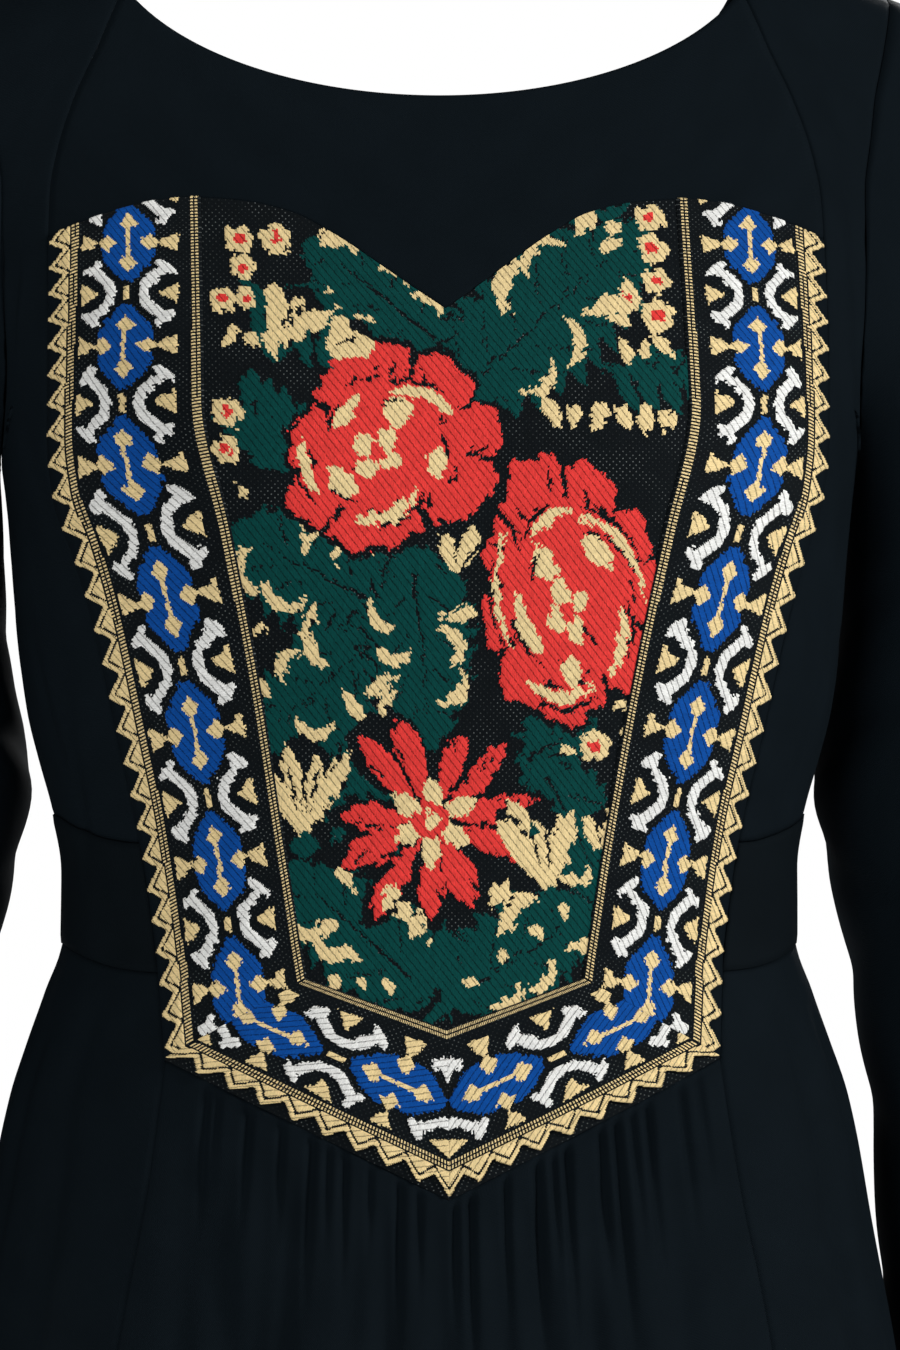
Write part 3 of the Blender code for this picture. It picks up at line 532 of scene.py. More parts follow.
@mirrored
def backPlace(fromSide, v):
    t = v * 18
    armTurn, armHeight = armholeSpot(np.minimum(t, 10.0), True)
    lowHeight = mix(form["underarm"], points["beltTopAtSide"], np.clip((t - 10) / 8, 0, 1))
    sideTurn = np.where(t < 10, armTurn, np.pi / 2)
    sideHeight = np.where(t < 10, armHeight, lowHeight)
    neckAcross, neckHeight = neckSpot(np.minimum(t / 5, 1.0), form["backNeckDrop"])
    centreHeight = mix(-form["backNeckDrop"], points["beltTopAtSide"], np.clip((t - 5) / 13, 0, 1))
    centreTurn = np.where(t < 5, np.pi - turnOf(neckAcross, neckHeight), np.pi)
    centreLine = np.where(t < 5, neckHeight, centreHeight)
    return mix(sideTurn, centreTurn, fromSide), mix(sideHeight, centreLine, ease(fromSide))


# the belt, from the panel round to the centre back
belt = {"cells": (90, 16), "flat": (258, 49), "area": 0.01262, "held": "hung", "thick": 1.4,
        "seams": ("left", "right", "top", "foot")}


@mirrored
def beltPlace(fromPanel, v):
    along = fromPanel * 16
    atPanel = mix(points["beltTopAtPanel"], points["beltFootAtPanel"], v)
    atSide = mix(points["beltTopAtSide"], points["beltFootAtSide"], v)
    start = turnOf(panelEdgeAt(atPanel), atPanel)
    front = np.clip(along / 7, 0, 1)
    behind = np.clip((along - 7) / 9, 0, 1)
    turn = np.where(along < 7, mix(start, np.pi / 2, front), mix(np.pi / 2, np.pi, behind))
    return turn, mix(atPanel, atSide, ease(front))


# the skirt part
skirtFront = {"cells": (264, 62), "flat": (360, 214), "area": 0.062, "held": "gathered",
              "seams": ("left", "right", "top")}
skirtSide = {"cells": (40, 80), "flat": (140, 255), "area": 0.0281, "held": "hung",
             "seams": ("left", "right", "top")}
skirtBack = {"cells": (90, 84), "flat": (285, 256), "area": 0.068, "held": "gathered",
             "seams": ("left", "right", "top")}


def skirtFrontPlace(u, v):
    place = 2 * u - 1
    share = v ** 1.15
    top = mix(points["outerPoint"], points["outerFoot"], np.abs(place))
    height = mix(top, form["hem"], share)
    across = place * skirtSeamAt(mix(points["outerFoot"], form["hem"], share))
    return turnOf(across, height), height


@mirrored
def skirtSidePlace(fromPanel, v):
    t = v * 9
    besidePanel = mix(points["beltFootAtPanel"], points["outerFoot"], np.clip(t / 2, 0, 1))
    besideFront = mix(points["outerFoot"], form["hem"], np.clip((t - 2) / 7, 0, 1) ** 1.15)
    height = np.where(t < 2, besidePanel, besideFront)
    across = np.where(t < 2, panelEdgeAt(besidePanel), skirtSeamAt(besideFront))
    atSide = mix(points["beltFootAtSide"], form["hem"], v)
    turn = mix(turnOf(across, height), np.pi / 2, fromPanel)
    return turn, mix(height, atSide, ease(fromPanel))


@mirrored
def skirtBackPlace(fromSide, v):
    return mix(np.pi / 2, np.pi, fromSide), mix(points["beltFootAtSide"], form["hem"], v)


# each plain piece: its cut, its place, and how far it stands proud of the form
plainPieces = {"side_front": (sideFront, sideFrontPlace, 0.0), "back": (back, backPlace, 0.0),
               "belt": (belt, beltPlace, 0.6), "skirt_side": (skirtSide, skirtSidePlace, 0.0),
               "skirt_back": (skirtBack, skirtBackPlace, 0.0)}
clothPiece("skirt_front_cloth", skirtFront, skirtFrontPlace, blackTwill, ["skirt_front"])
for word, side in (("left", -1), ("right", 1)):
    for part, (cut, placeFor, proud) in plainPieces.items():
        cloth, slotName = (beltTwill, "belt_cloth") if part == "belt" else (blackTwill, "black_cloth")
        clothPiece(part + "_cloth_" + word, cut, placeFor(side), cloth, [part + "_" + word], proud)
print("plain cloth ready")


# Sleeves
sleeveCut = {"cells": (90, 152), "flat": (330, 560), "area": 0.172, "held": "hung",
             "capRows": 50, "startPull": 0.42, "endPull": 0.5, "lean": 0.35}


def creaseInward(angle, height):
    depth = np.zeros_like(height)
    for middle, slant, deep, wide in sleeveCreases:
        line = middle + slant * np.sin(angle)
        depth += deep * np.exp(-((height - line) / wide) ** 2) * (0.55 + 0.45 * np.sin(angle))
    return depth


def tubeSpot(angle, height):
    # angle 0 is the outer side of the right sleeve, a quarter turn its front
    half = sleeveWideAt(height) / 2
    sunk = creaseInward(angle, height)
    softer = 0.5 * np.sin(angle * 3 + height * 0.05) * np.sin(height * 0.061) * ease((-height - 240) / 60)
    across = sleeveInnerAt(height) + half + (half - sunk - softer) * np.cos(angle)
    y = sleeveMiddleAt(height) - (sleeveDeepAt(height) / 2 - sunk - softer) * np.sin(angle)
    return np.stack([across, y, height], axis=-1)


def sleeveSpots(side):
    def spots(u, v):
        round20 = 20 * outFrom(-side, u)
        angle = round20 / 20 * 2 * np.pi
        frontTurn, frontHeight = armholeSpot(np.minimum(round20, 10.0))
        backTurn, backHeight = armholeSpot(np.clip(20 - round20, 0.0, 10.0), True)
        onFront = round20 <= 10
        seam = foldedForm(np.where(onFront, frontTurn, backTurn), np.where(onFront, frontHeight, backHeight))
        end = tubeSpot(angle, np.full_like(angle, sleeve["height"][0]))
        reach = np.linalg.norm(end - seam, axis=-1, keepdims=True)
        outward = np.stack([np.ones_like(angle), np.zeros_like(angle),
                            -sleeveCut["lean"] * np.maximum(0.0, np.cos(angle))], axis=-1)
        outward = unit(outward) * np.maximum(0.08, (1 + np.cos(angle)) / 2)[:, None]
        first = seam + outward * reach * sleeveCut["startPull"]
        second = end + np.array([0.0, 0.0, 1.0]) * reach * sleeveCut["endPull"]
        capShare = sleeveCut["capRows"] / sleeveCut["cells"][1]
        t = np.clip(v / capShare, 0.0, 1.0)[:, None]
        t = np.maximum(t, 0.3 / reach)
        rest = 1 - t
        cap = seam * rest ** 3 + first * 3 * rest ** 2 * t + second * 3 * rest * t ** 2 + end * t ** 3
        below = np.clip((v - capShare) / (1 - capShare), 0, 1)
        height = mix(sleeve["height"][0], sleeve["height"][-1], below)
        made = np.where((v <= capShare)[:, None], cap, tubeSpot(angle, height))
        made[:, 0] *= side
        return made
    return spots


for word, side in (("left", -1), ("right", 1)):
    tube = clothPiece("sleeve_cloth_" + word, sleeveCut, None, blackTwill, ["sleeve_" + word],
                      form3d=sleeveSpots(side))
    joined = bmesh.new()
    joined.from_mesh(tube.data)
    bmesh.ops.remove_doubles(joined, verts=joined.verts, dist=0.0005)
    joined.to_mesh(tube.data)
    joined.free()
print("sleeves ready")


# The woven front panel
# Kinds of weft that come to the face, how far each stands up in millimetres, and its yarn's colour
yarns = {
    "ground": {"colour": "#0c1114", "raised": 0.05},   # black ground, gives the eye a dark field
    "cream": {"colour": "#efd59c", "raised": 0.55},    # unbleached cotton weft, warm and matt
    "red": {"colour": "#e83f3b", "raised": 0.60},      # dyed poppy red weft
    "green": {"colour": "#05423f", "raised": 0.48},    # dyed bottle green weft
    "blue": {"colour": "#0b4b9b", "raised": 0.55},     # dyed cobalt weft
    "white": {"colour": "#efefeb", "raised": 0.70}}    # bleached weft, a little thicker
yarnNames = list(yarns)
yarnColours = np.array([toLinear(yarns[name]["colour"]) for name in yarnNames])
yarnRaised = np.array([yarns[name]["raised"] for name in yarnNames])


def grainNoise(a, b, seed):
    # the same value for the same whole numbers, from -1 to 1
    mixed = np.sin(a * 127.1 + b * 311.7 + seed * 74.7) * 43758.5453
    return 2 * (mixed - np.floor(mixed)) - 1


def wayOf(turned):
    return math.cos(math.radians(turned)), math.sin(math.radians(turned))


def aheadOf(x, z, spot, turned):
    # how far each place lies ahead of a spot in a direction, and how far to its left
    c, s = wayOf(turned)
    return (x - spot[0]) * c + (z - spot[1]) * s, (z - spot[1]) * c - (x - spot[0]) * s


def stepFrom(spot, turned, far, aside=0.0):
    c, s = wayOf(turned)
    return (spot[0] + far * c - aside * s, spot[1] + far * s + aside * c)


class Loom:
    # a net of cells, and the kind of yarn that faces out in each
    def __init__(self, x, z, kind=None):
        self.x, self.z = x, z
        self.kind = np.zeros(len(x), int) if kind is None else kind

    def paint(self, yarn, where):
        self.kind[where] = yarnNames.index(yarn)

    def disc(self, yarn, middle, radius):
        self.paint(yarn, np.hypot(self.x - middle[0], self.z - middle[1]) < radius)

    def petal(self, yarn, root, turned, long, wide, fullAt=0.6, bend=0.0):
        # it grows from its root: widest at fullAt of its length, its tip bent to the left
        far, aside = aheadOf(self.x, self.z, root, turned)
        t = np.clip(far / long, 0, 1)
        half = wide / 2 * np.sin(np.pi * t ** (math.log(0.5) / math.log(fullAt))) ** 0.75
        self.paint(yarn, (far > 0) & (far < long) & (np.abs(aside - bend * t * t) < half))

    def curl(self, yarn, middle, radius, start, sweep, thick):
        # a crescent on a circle, thickest halfway
        off, up = self.x - middle[0], self.z - middle[1]
        t = ((np.degrees(np.arctan2(up, off)) - start) % 360) / sweep
        half = thick / 2 * np.sin(np.pi * np.clip(t, 0, 1)) ** 0.6
        self.paint(yarn, (t < 1) & (np.abs(np.hypot(off, up) - radius) < half))


def weaveRose(loom, root, turned, long, wide, petals):
    # a full rose: uneven red petals, slits between them, cream rims turned over, a cream heart
    far, aside = aheadOf(loom.x, loom.z, root, turned)
    p, q = far / long, aside / wide
    inside = Loom(p, q, loom.kind)
    r, angle = np.hypot(p, q), np.arctan2(q, p)
    wave = angle * petals / 2 + 0.6 * np.sin(2 * angle + petals)
    edge = 0.84 + 0.15 * np.abs(np.sin(wave)) ** 0.6 + 0.06 * np.sin(3 * angle + long)
    edge = edge + 0.03 * np.sin(17 * angle)
    loom.paint("ground", r < edge + 0.06)
    loom.paint("red", r < edge)
    loom.paint("ground", (np.abs(np.sin(wave)) < 0.12) & (r > 0.68) & (r < edge))
    for k in range(2 * petals):
        # short slits where one petal tucks under the next
        spot = (0.72 * math.cos(2.4 * k + long) * (0.6 + 0.4 * (k % 3) / 2), 0.72 * math.sin(2.4 * k + long))
        inside.petal("ground", spot, 28 + 40 * math.sin(k), 0.20, 0.035, 0.5)
    for k in range(petals):
        # rims turned over, longer and thinner as they go round
        spot = (0.14 * math.cos(2.4 * k) - 0.10, 0.12 * math.sin(2.4 * k))
        start, sweep = 137.5 * k + 30, 40 + 5 * k + 14 * math.sin(1.7 * k + petals)
        inside.curl("cream", spot, 0.30 + 0.055 * k, start, sweep, 0.26 * math.exp(-k / 4) + 0.035)
        inside.curl("ground", spot, 0.41 + 0.05 * k, start + 20, sweep * 0.7, 0.035)
    heart = (-0.14, 0.04)
    for k in range(4):
        inside.petal("cream", heart, 90 * k + 24, 0.27 - 0.03 * (k % 2), 0.19)
    inside.disc("red", heart, 0.075)


def weaveLeaf(loom, root, turned, long, wide, curls):
    # a broad toothed leaf: a split midrib, slanting side veins, cream curls beside it
    far, aside = aheadOf(loom.x, loom.z, root, turned)
    bend = 0.14 * wide * math.sin(root[0] + curls)
    t = np.clip(far / long, 0, 1)
    aside = aside - bend * t ** 2
    teeth = 1 - 0.30 * ((t * (2 + long / 11) + 0.3 * (aside > 0)) % 1)
    half = wide / 2 * np.sin(np.pi * t ** 0.8) ** 0.5 * teeth
    off, within = np.abs(aside), (far > 0) & (far < long)
    loom.paint("ground", within & (off < half + 1.3))
    loom.paint("green", within & (off < half))
    loom.paint("ground", (off < 0.75 * (1 - t)) & (t > 0.12) & (t < 0.8))
    vein = ((far - 0.9 * off) % 14.0 < 0.7) & (off < half * 0.85) & (off > half * 0.25)
    loom.paint("ground", vein & (t > 0.1) & (t < 0.9))
    for k in range(curls):
        side = 1 if k % 2 else -1
        at = (0.24 + 0.56 * (k + 0.4) / curls) * long
        spot = stepFrom(root, turned, at, side * wide * (0.18 + 0.05 * math.sin(3.1 * k + long)) + bend * 0.3)
        start = turned + side * (60 + 40 * math.sin(2.3 * k + wide))
        if k % 3 == 1:
            loom.petal("cream", spot, start, wide * 0.34, wide * 0.12, 0.6, 1.2)
        else:
            loom.curl("cream", spot, wide * 0.17, start - 60, 130 + 30 * (k % 2), 4.4)


def weaveStar(loom, root, turned, long, wide, petals):
    # an open flower: narrow red petals of uneven length, a cream star, a ringed eye
    for k in range(petals):
        angle = turned + 360 * (k + 0.16 * math.sin(2.7 * k)) / petals
        reach = long * (0.93 + 0.10 * math.sin(1.9 * k + 1))
        start = stepFrom(root, angle, 0.13 * long)
        broad = wide * (0.9 + 0.16 * math.cos(2.1 * k))
        loom.petal("ground", start, angle, reach, wide * 1.3)
        loom.petal("red", start, angle, reach - 0.13 * long, broad, 0.62, 0.06 * long * math.sin(1.3 * k))
        loom.petal("ground", stepFrom(root, angle, 0.62 * long, 1.6), angle + 14, 0.2 * long, 1.1, 0.5)
    for k in range(6):
        loom.petal("cream", root, turned + 60 * k + 20, long * (0.44 - 0.05 * (k % 2)), wide * 0.62)
    loom.disc("red", root, long * 0.165)
    loom.disc("cream", root, long * 0.085)


def weaveBud(loom, root, turned, long, wide, petals):
    # a bud seen from its side: petals side by side, fanned a little, parted by dark slits
    loom.petal("ground", root, turned, long * 1.08, wide * 1.25)
    for k in range(petals):
        lean = (k - (petals - 1) / 2) * 46 / petals
        loom.petal("cream", root, turned + lean, long * (1 - 0.12 * (k % 2)), wide / petals * 1.5, 0.62,
                   lean * 0.02 * wide)
    for k in range(petals - 1):
        angle = turned + (k + 1 - petals / 2) * 40 / petals
        loom.petal("ground", stepFrom(root, angle, long * 0.3), angle, long * 0.5, 1.5)
    loom.petal("green", stepFrom(root, turned, -0.16 * long), turned, long * 0.3, wide * 0.5, 0.5)


def weaveBlossom(loom, root, turned, long, wide, petals):
    # a small flat blossom: round cream petals and a red eye
    for k in range(petals):
        loom.petal("cream", root, turned + 360 * k / petals, long, wide)
    loom.disc("red", root, long * 0.34)


def weaveSprig(loom, root, turned, long, wide, leaflets):
    # a bent stem with slim leaflets on both sides
    loom.petal("green", root, turned, long, max(2.2, wide * 0.22), 0.5, 0.1 * long)
    for k in range(leaflets):
        side = 1 if k % 2 else -1
        t = 0.15 + 0.8 * k / leaflets
        spot = stepFrom(root, turned, long * t, 0.1 * long * t * t)
        loom.petal("green", spot, turned + side * 48, wide * (0.75 - 0.25 * t), wide * 0.24, 0.5)


def weavePetals(loom, root, turned, long, wide, petals):
    # loose cream petals that lie in a row, each turned a little from the last
    for k in range(petals):
        spot = stepFrom(root, turned, long * (k + 0.5) / petals, 1.6 * math.sin(2.6 * k))
        lean = turned + 90 + 28 * math.sin(1.9 * k + long)
        loom.petal("cream", stepFrom(spot, lean, -wide / 2), lean, wide * (0.9 + 0.16 * math.cos(3 * k)),
                   min(wide * 0.55, long / petals * 0.72), 0.6, 0.8 * math.sin(k))


# The flower work, laid out after the photographed panel with the maker's own flowers: what is woven,
# its root across from the middle and its height, its turn from the right, its length and width in
# millimetres, and how many petals, curls or leaflets it has
flowerWork = [
    (weaveLeaf, (2, -165), 137, 68, 40, 5), (weaveLeaf, (4, -180), 44, 98, 58, 8),
    (weaveSprig, (-76, -136), -36, 48, 30, 8), (weaveSprig, (-46, -212), 132, 44, 30, 9),
    (weaveLeaf, (-22, -260), 150, 66, 50, 6), (weaveLeaf, (-24, -266), 224, 64, 42, 5),
    (weaveLeaf, (-14, -236), -82, 76, 44, 7), (weaveSprig, (-38, -294), -84, 54, 30, 8),
    (weaveLeaf, (28, -318), 44, 34, 30, 2), (weaveLeaf, (34, -314), -60, 60, 38, 3),
    (weaveLeaf, (-6, -402), 138, 70, 46, 6), (weaveLeaf, (2, -402), 28, 62, 46, 5),
    (weaveSprig, (-1, -366), -92, 46, 26, 7), (weaveSprig, (56, -168), -14, 40, 26, 7),
    (weaveSprig, (-78, -96), -14, 20, 14, 5), (weaveSprig, (62, -122), 78, 26, 14, 6),
    (weaveRose, (-21, -199), 35, 42, 38, 7), (weaveRose, (45, -252), 96, 51, 35, 9),
    (weaveStar, (-5, -337), 8, 41, 11.5, 11),
    (weaveBud, (-52, -346), 92, 38, 20, 4), (weaveBud, (2, -247), 86, 20, 10, 2),
    (weaveBud, (40, -366), 102, 34, 18, 3), (weaveBud, (33, -341), 150, 15, 9, 2),
    (weaveBud, (57, -350), 88, 17, 8, 2), (weaveBud, (-64, -163), 62, 26, 18, 3),
    (weaveBud, (-45, -166), 40, 19, 13, 2), (weaveBud, (-38, -124), 120, 9, 8, 1),
    (weavePetals, (34, -186), -3, 52, 13, 6), (weavePetals, (64, -166), 20, 22, 11, 3),
    (weavePetals, (62, -154), 30, 20, 8, 2), (weavePetals, (-84, -158), -6, 24, 10, 3),
    (weavePetals, (18, -360), -68, 20, 12, 2), (weavePetals, (-24, -364), -38, 22, 11, 3),
    (weavePetals, (36, -372), 8, 16, 7, 1), (weavePetals, (-48, -372), -50, 24, 9, 2),
    (weavePetals, (4, -402), 40, 46, 8, 3), (weavePetals, (-46, -398), 2, 30, 7, 3),
    (weavePetals, (64, -126), 85, 14, 10, 2), (weavePetals, (-80, -216), 10, 8, 6, 1),
    (weavePetals, (-72, -262), -60, 10, 6, 1), (weavePetals, (64, -290), -80, 20, 6, 2),
    (weaveBlossom, (-76, -120), 0, 6.0, 5.6, 5), (weaveBlossom, (-62, -120), 20, 6.2, 5.8, 5),
    (weaveBlossom, (-75, -131), 0, 5.2, 5.0, 5), (weaveBlossom, (-82, -144), 10, 5.6, 5.2, 5),
    (weaveBlossom, (-74, -143), 40, 4.4, 4.2, 5), (weaveBlossom, (-81, -186), 0, 6.0, 5.6, 5),
    (weaveBlossom, (-82, -200), 30, 5.0, 4.8, 5), (weaveBlossom, (79, -112), 0, 6.0, 5.6, 5),
    (weaveBlossom, (79, -124), 15, 6.0, 5.6, 5), (weaveBlossom, (80, -136), 0, 5.6, 5.2, 5),
    (weaveBlossom, (80, -150), 25, 7.0, 6.4, 5), (weaveBlossom, (55, -309), 30, 6.4, 6.2, 5),
    (weaveBlossom, (68, -142), 0, 4.6, 4.4, 4)]
fieldCells = (236, 380)
panelCut = {"cells": (60, 100), "flat": (186, 318), "area": 0.0445, "held": "hung"}


def yarnAt(x, z):
    # the yarn that faces out at each place, with edges that step along the ribs of the weave
    ribDirection = math.radians(-52)
    rib = np.floor((-x * math.sin(ribDirection) + z * math.cos(ribDirection)) / 2.3)
    shift = 1.5 * grainNoise(rib, np.floor((x - z) / 6.7), 3) + 0.6 * grainNoise(np.floor(z / 0.8), rib, 9)
    aside = 0.5 * grainNoise(np.floor(x / 1.8), np.floor(z / 1.8), 12)
    x = x + shift * math.cos(ribDirection) - aside * math.sin(ribDirection)
    z = z + shift * math.sin(ribDirection) + aside * math.cos(ribDirection)
    loom = Loom(x, z)
    for weaveFlower, root, turned, long, wide, count in flowerWork:
        weaveFlower(loom, root, turned, long, wide, count)
    return loom.kind


def fieldPlace(place, share):
    innerHeight = mix(points["innerTop"], points["innerFoot"], share)
    atTop = panelTopAt(np.abs(place) * ribbonAcross["innerTop"]) - points["innerTop"]
    atFoot = (points["innerPoint"] - points["innerFoot"]) * (1 - np.abs(place))
    across = place * ribbonInnerAt(innerHeight)
    height = innerHeight + mix(atTop, atFoot, share)
    return turnOf(across, height), height


def cellMeans(mesh, *values):
    # the mean of each cell's four corners
    corners = cornersOf(mesh).reshape(-1, 4)
    return [value[corners].mean(axis=1) for value in values]


def meanAtPoints(mesh, cellValues, count):
    corners = cornersOf(mesh)
    total = np.bincount(corners, weights=np.repeat(cellValues, 4), minlength=count)
    return total / np.maximum(np.bincount(corners, minlength=count), 1)


def paintCells(mesh, kind, toneNoise):
    # each cell's yarn colour, and whether a raised yarn is there
    colours = yarnColours[kind].copy()
    colours[:, :3] *= (1 + 0.07 * toneNoise)[:, None]
    layer = mesh.color_attributes.new("yarnColour", "FLOAT_COLOR", "CORNER")
    layer.data.foreach_set("color", np.repeat(colours, 4, axis=0).ravel())
    raised = mesh.attributes.new("raisedYarn", "FLOAT", "CORNER")
    raised.data.foreach_set("value", np.repeat((kind > 0).astype(float), 4))


def figuredWeave(name, look):
    # floats of coloured weft tied down along fine diagonal ribs, with painted shade along the tie lines, on a
    # black ground with pin dots
    material, tree, shader = newMaterial(name, look)
    place = clothPlace(tree)
    colour = addNode(tree, "ShaderNodeAttribute", attribute_name="yarnColour", attribute_type="GEOMETRY")
    raised = addNode(tree, "ShaderNodeAttribute", attribute_name="raisedYarn", attribute_type="GEOMETRY")
    raised = raised.outputs["Fac"]
    ribWay = (math.sin(look["ribAngle"]) / look["rib"], math.cos(look["ribAngle"]) / look["rib"], 0.0)
    acrossRibs = addNode(tree, "ShaderNodeVectorMath", {0: place, 1: ribWay}, operation="DOT_PRODUCT")
    shaken = calc(tree, "MULTIPLY_ADD", noise(tree, place, 0.9, 2.0), 0.34, acrossRibs.outputs["Value"])
    saw = calc(tree, "FRACT", shaken)
    offTie = calc(tree, "ABSOLUTE", calc(tree, "SUBTRACT", saw, 0.5))
    # the tie lines darken the coloured floats: partly the black warp that ties them down, partly painted
    # shade in the valleys between the ribs; the tie line is broken into short stitches
    tie = spread(tree, offTie, (look["tieHalf"] * 0.4, look["tieHalf"]), (1.0, 0.0))
    broken = spread(tree, noise(tree, place, 1.5, 1.0), (0.34, 0.5), (0.25, 1.0))
    tieRaised = calc(tree, "MULTIPLY", calc(tree, "MULTIPLY", tie, broken), raised)
    # painted shade: the yarn colour is darkened along the tie lines between the ribs
    tieShade = calc(tree, "MULTIPLY_ADD", tieRaised, -look["tieValleyShade"], 1.0)
    # fine yarns that run across the ribs
    stretched = addNode(tree, "ShaderNodeVectorMath", {0: place, 1: look["yarnGrain"]}, operation="MULTIPLY")
    yarn = noise(tree, stretched.outputs[0], 1.0, 2.0)
    shade = calc(tree, "MULTIPLY", tieShade, spread(tree, yarn, (0.3, 0.7), (0.8, 1.12)))
    shaded = addNode(tree, "ShaderNodeVectorMath", {0: colour.outputs["Color"], "Scale": shade},
                     operation="SCALE")
    # pin dots on the ground, stronger in some places than in others
    dotted = addNode(tree, "ShaderNodeMapping", {"Vector": place, "Rotation": (0.0, 0.0, look["dotTurn"])})
    dots = addNode(tree, "ShaderNodeTexVoronoi", {"Vector": dotted.outputs[0], "Scale": 1 / look["dotPitch"],
                                                  "Randomness": 0.12}, feature="F1", voronoi_dimensions="2D")
    near = spread(tree, dots.outputs["Distance"], (look["dotSize"] * 0.5, look["dotSize"]), (1.0, 0.0))
    strong = spread(tree, noise(tree, place, 0.09, 2.0), (0.45, 0.64), (0.12, 1.0))
    onGround = calc(tree, "SUBTRACT", 1.0, raised)
    dot = calc(tree, "MULTIPLY", calc(tree, "MULTIPLY", near, strong), onGround)
    mixed = blendColours(tree, dot, shaded.outputs[0], toLinear(look["dot"]))
    tree.links.new(mixed, shader.inputs["Base Color"])
    ridge = calc(tree, "MULTIPLY_ADD", calc(tree, "PINGPONG", saw, 1.0), 0.5, yarn)
    bumpOnto(tree, shader, look["bump"], 0.0003, calc(tree, "MULTIPLY_ADD", tieRaised, -1.2, ridge))
    return material


# the panel's figured cotton: gives the eye thick, matt, ribbed yarn on near black
fieldLook = {"colour": "#0c1114", "roughness": 0.85, "specular": 0.06, "sheen": 0.03, "sheenRoughness": 0.5,
             "sheenTint": "#c9c9c9", "rib": 2.3, "ribAngle": math.radians(128), "tieHalf": 0.13,
             "tieValleyShade": 0.62, "yarnGrain": (2.6, 0.5, 1.0), "dotTurn": 0.785, "dotPitch": 1.75,
             "dotSize": 0.17, "dot": "#666b6a", "bump": 0.55}
fieldWeave = figuredWeave("figured cotton weave with floating wefts", fieldLook)
# the ribbon is woven the same way on a narrow loom, a little smoother
ribbonLook = dict(fieldLook, ribAngle=math.radians(57), yarnGrain=(0.5, 2.6, 1.0), dotPitch=1.7)
ribbonWeave = figuredWeave("figured cotton ribbon weave", ribbonLook)


def makeField():
    mesh, u, v = gridMesh("woven_field", *fieldCells)
    turn, height = fieldPlace(2 * u - 1, v)
    spots = foldedForm(turn, height)
    way = facingOf(foldedForm, turn, height)
    across, up = frontAcross(turn, height), spots[:, 2]
    cellAcross, cellUp = cellMeans(mesh, across, up)
    kind = yarnAt(cellAcross, cellUp)
    lift = meanAtPoints(mesh, yarnRaised[kind], len(u))
    setPoints(mesh, spots + way * (0.15 + lift)[:, None])
    setUv(mesh, across, -up)
    paintCells(mesh, kind, grainNoise(np.floor(cellAcross / 1.85), np.floor(cellUp / 3.3), 5))
    return addPiece("woven_field", mesh, fieldWeave, ["front_panel"])


makeField()
clothPiece("front_panel_cloth", panelCut, lambda u, v: fieldPlace(2 * u - 1, v), blackTwill,
           ["front_panel"], surface=foldedForm)
print("woven field ready")


# The ribbons down both sides and along the point
# One repeat of the ribbon, in millimetres: t runs across from the inner edge, along from a diamond's middle
ribbon = {"repeat": 49.5, "middle": 27.0, "width": 60.0, "cells": (104, 480), "cellsBelow": (104, 164),
          "lift": 1.1, "rim": 1.0, "tieWay": math.radians(-57), "tiePitch": 2.3, "stripe": 2.2,
          "darkLine": 1.1, "valley": 0.885, "tip": 0.985, "firstBelow": 20.1, "motifsFrom": 4.6,
          "motifsTo": 46.0, "teethFrom": 50.3, "lengthBelow": 77.0, "firstHeight": -122.0,
          "firstRepeat": 39.0, "teeth": 4, "teethBelow": 9}
ladder = {"starts": (0.4, 46.8), "width": 2.9, "spine": 0.2}
diamond = {"along": [0, 2.4, 3.6, 6, 9.6, 12, 14.4, 16.8, 19.2],
           "half": [8.4, 9.2, 10.6, 10.8, 9.4, 7.6, 5.6, 3.6, 1.4]}
repeatHeights = {"repeat": list(range(8)), "height": [-122, -161, -205, -254, -304, -352, -399, -446]}
repeatAt = smoothLine(repeatHeights, "height", "repeat")
crossLean = {"height": [-640, -230, -200, 0], "lean": [9.5, 9.5, 0.5, 0.0]}
crossLeanAt = smoothLine(crossLean, "height", "lean")


def nearLine(x, y, line, width):
    # within half a width of a bent line
    inside = np.zeros(x.shape, bool)
    for (ax, ay), (bx, by) in zip(line, line[1:]):
        t = np.clip(((x - ax) * (bx - ax) + (y - ay) * (by - ay)) / ((bx - ax) ** 2 + (by - ay) ** 2), 0, 1)
        inside |= (x - ax - (bx - ax) * t) ** 2 + (y - ay - (by - ay) * t) ** 2 < (width / 2) ** 2
    return inside


def motifAt(t, along):
    # the yarn that faces out in one repeat
    loom = Loom(t, along)
    a, v = np.abs(along), np.abs(t - ribbon["middle"])
    v = v * np.where(t > ribbon["middle"], 1.07, 1.02)
    stepped = np.floor(a / 1.6) * 1.6 + 0.8
    half = np.interp(stepped, diamond["along"], diamond["half"], right=0.0)
    loom.paint("blue", (v < half) & (a < 19.8))
    arrow = (v < 0.9) & (a < 9.0)
    arrow |= np.abs(a - 9.8) / 4.3 + v / 3.9 < 1.0
    bow = np.abs(v - 8.6) / 4.0 + a / 3.9 < 1.0
    fan = (v > 12.4) & (v < 19.4) & (a < 0.7 + (v - 12.4) * 0.56)
    cream = arrow | bow | fan
    edge = a - ribbon["repeat"] / 2
    uu = along - np.copysign(ribbon["repeat"] / 2, along)
    cream |= (v < 1.2) & (np.abs(edge) < 3.2)
    cream |= (v > 12.2) & (v < 19.2) & (np.abs(uu) < 0.6 + (v - 12.2) * 0.66)
    loom.paint("cream", cream)
    line = [(15.0, -12.2), (7.4, -4.6), (6.4, 0.0), (7.4, 4.6), (15.0, 12.2)]
    white = nearLine(v, uu, line, 4.2)
    for end in (-1, 1):
        white |= nearLine(v, uu, [(12.6, end * 14.4), (17.0, end * 10.2)], 3.4)
    loom.paint("white", white)
    return loom


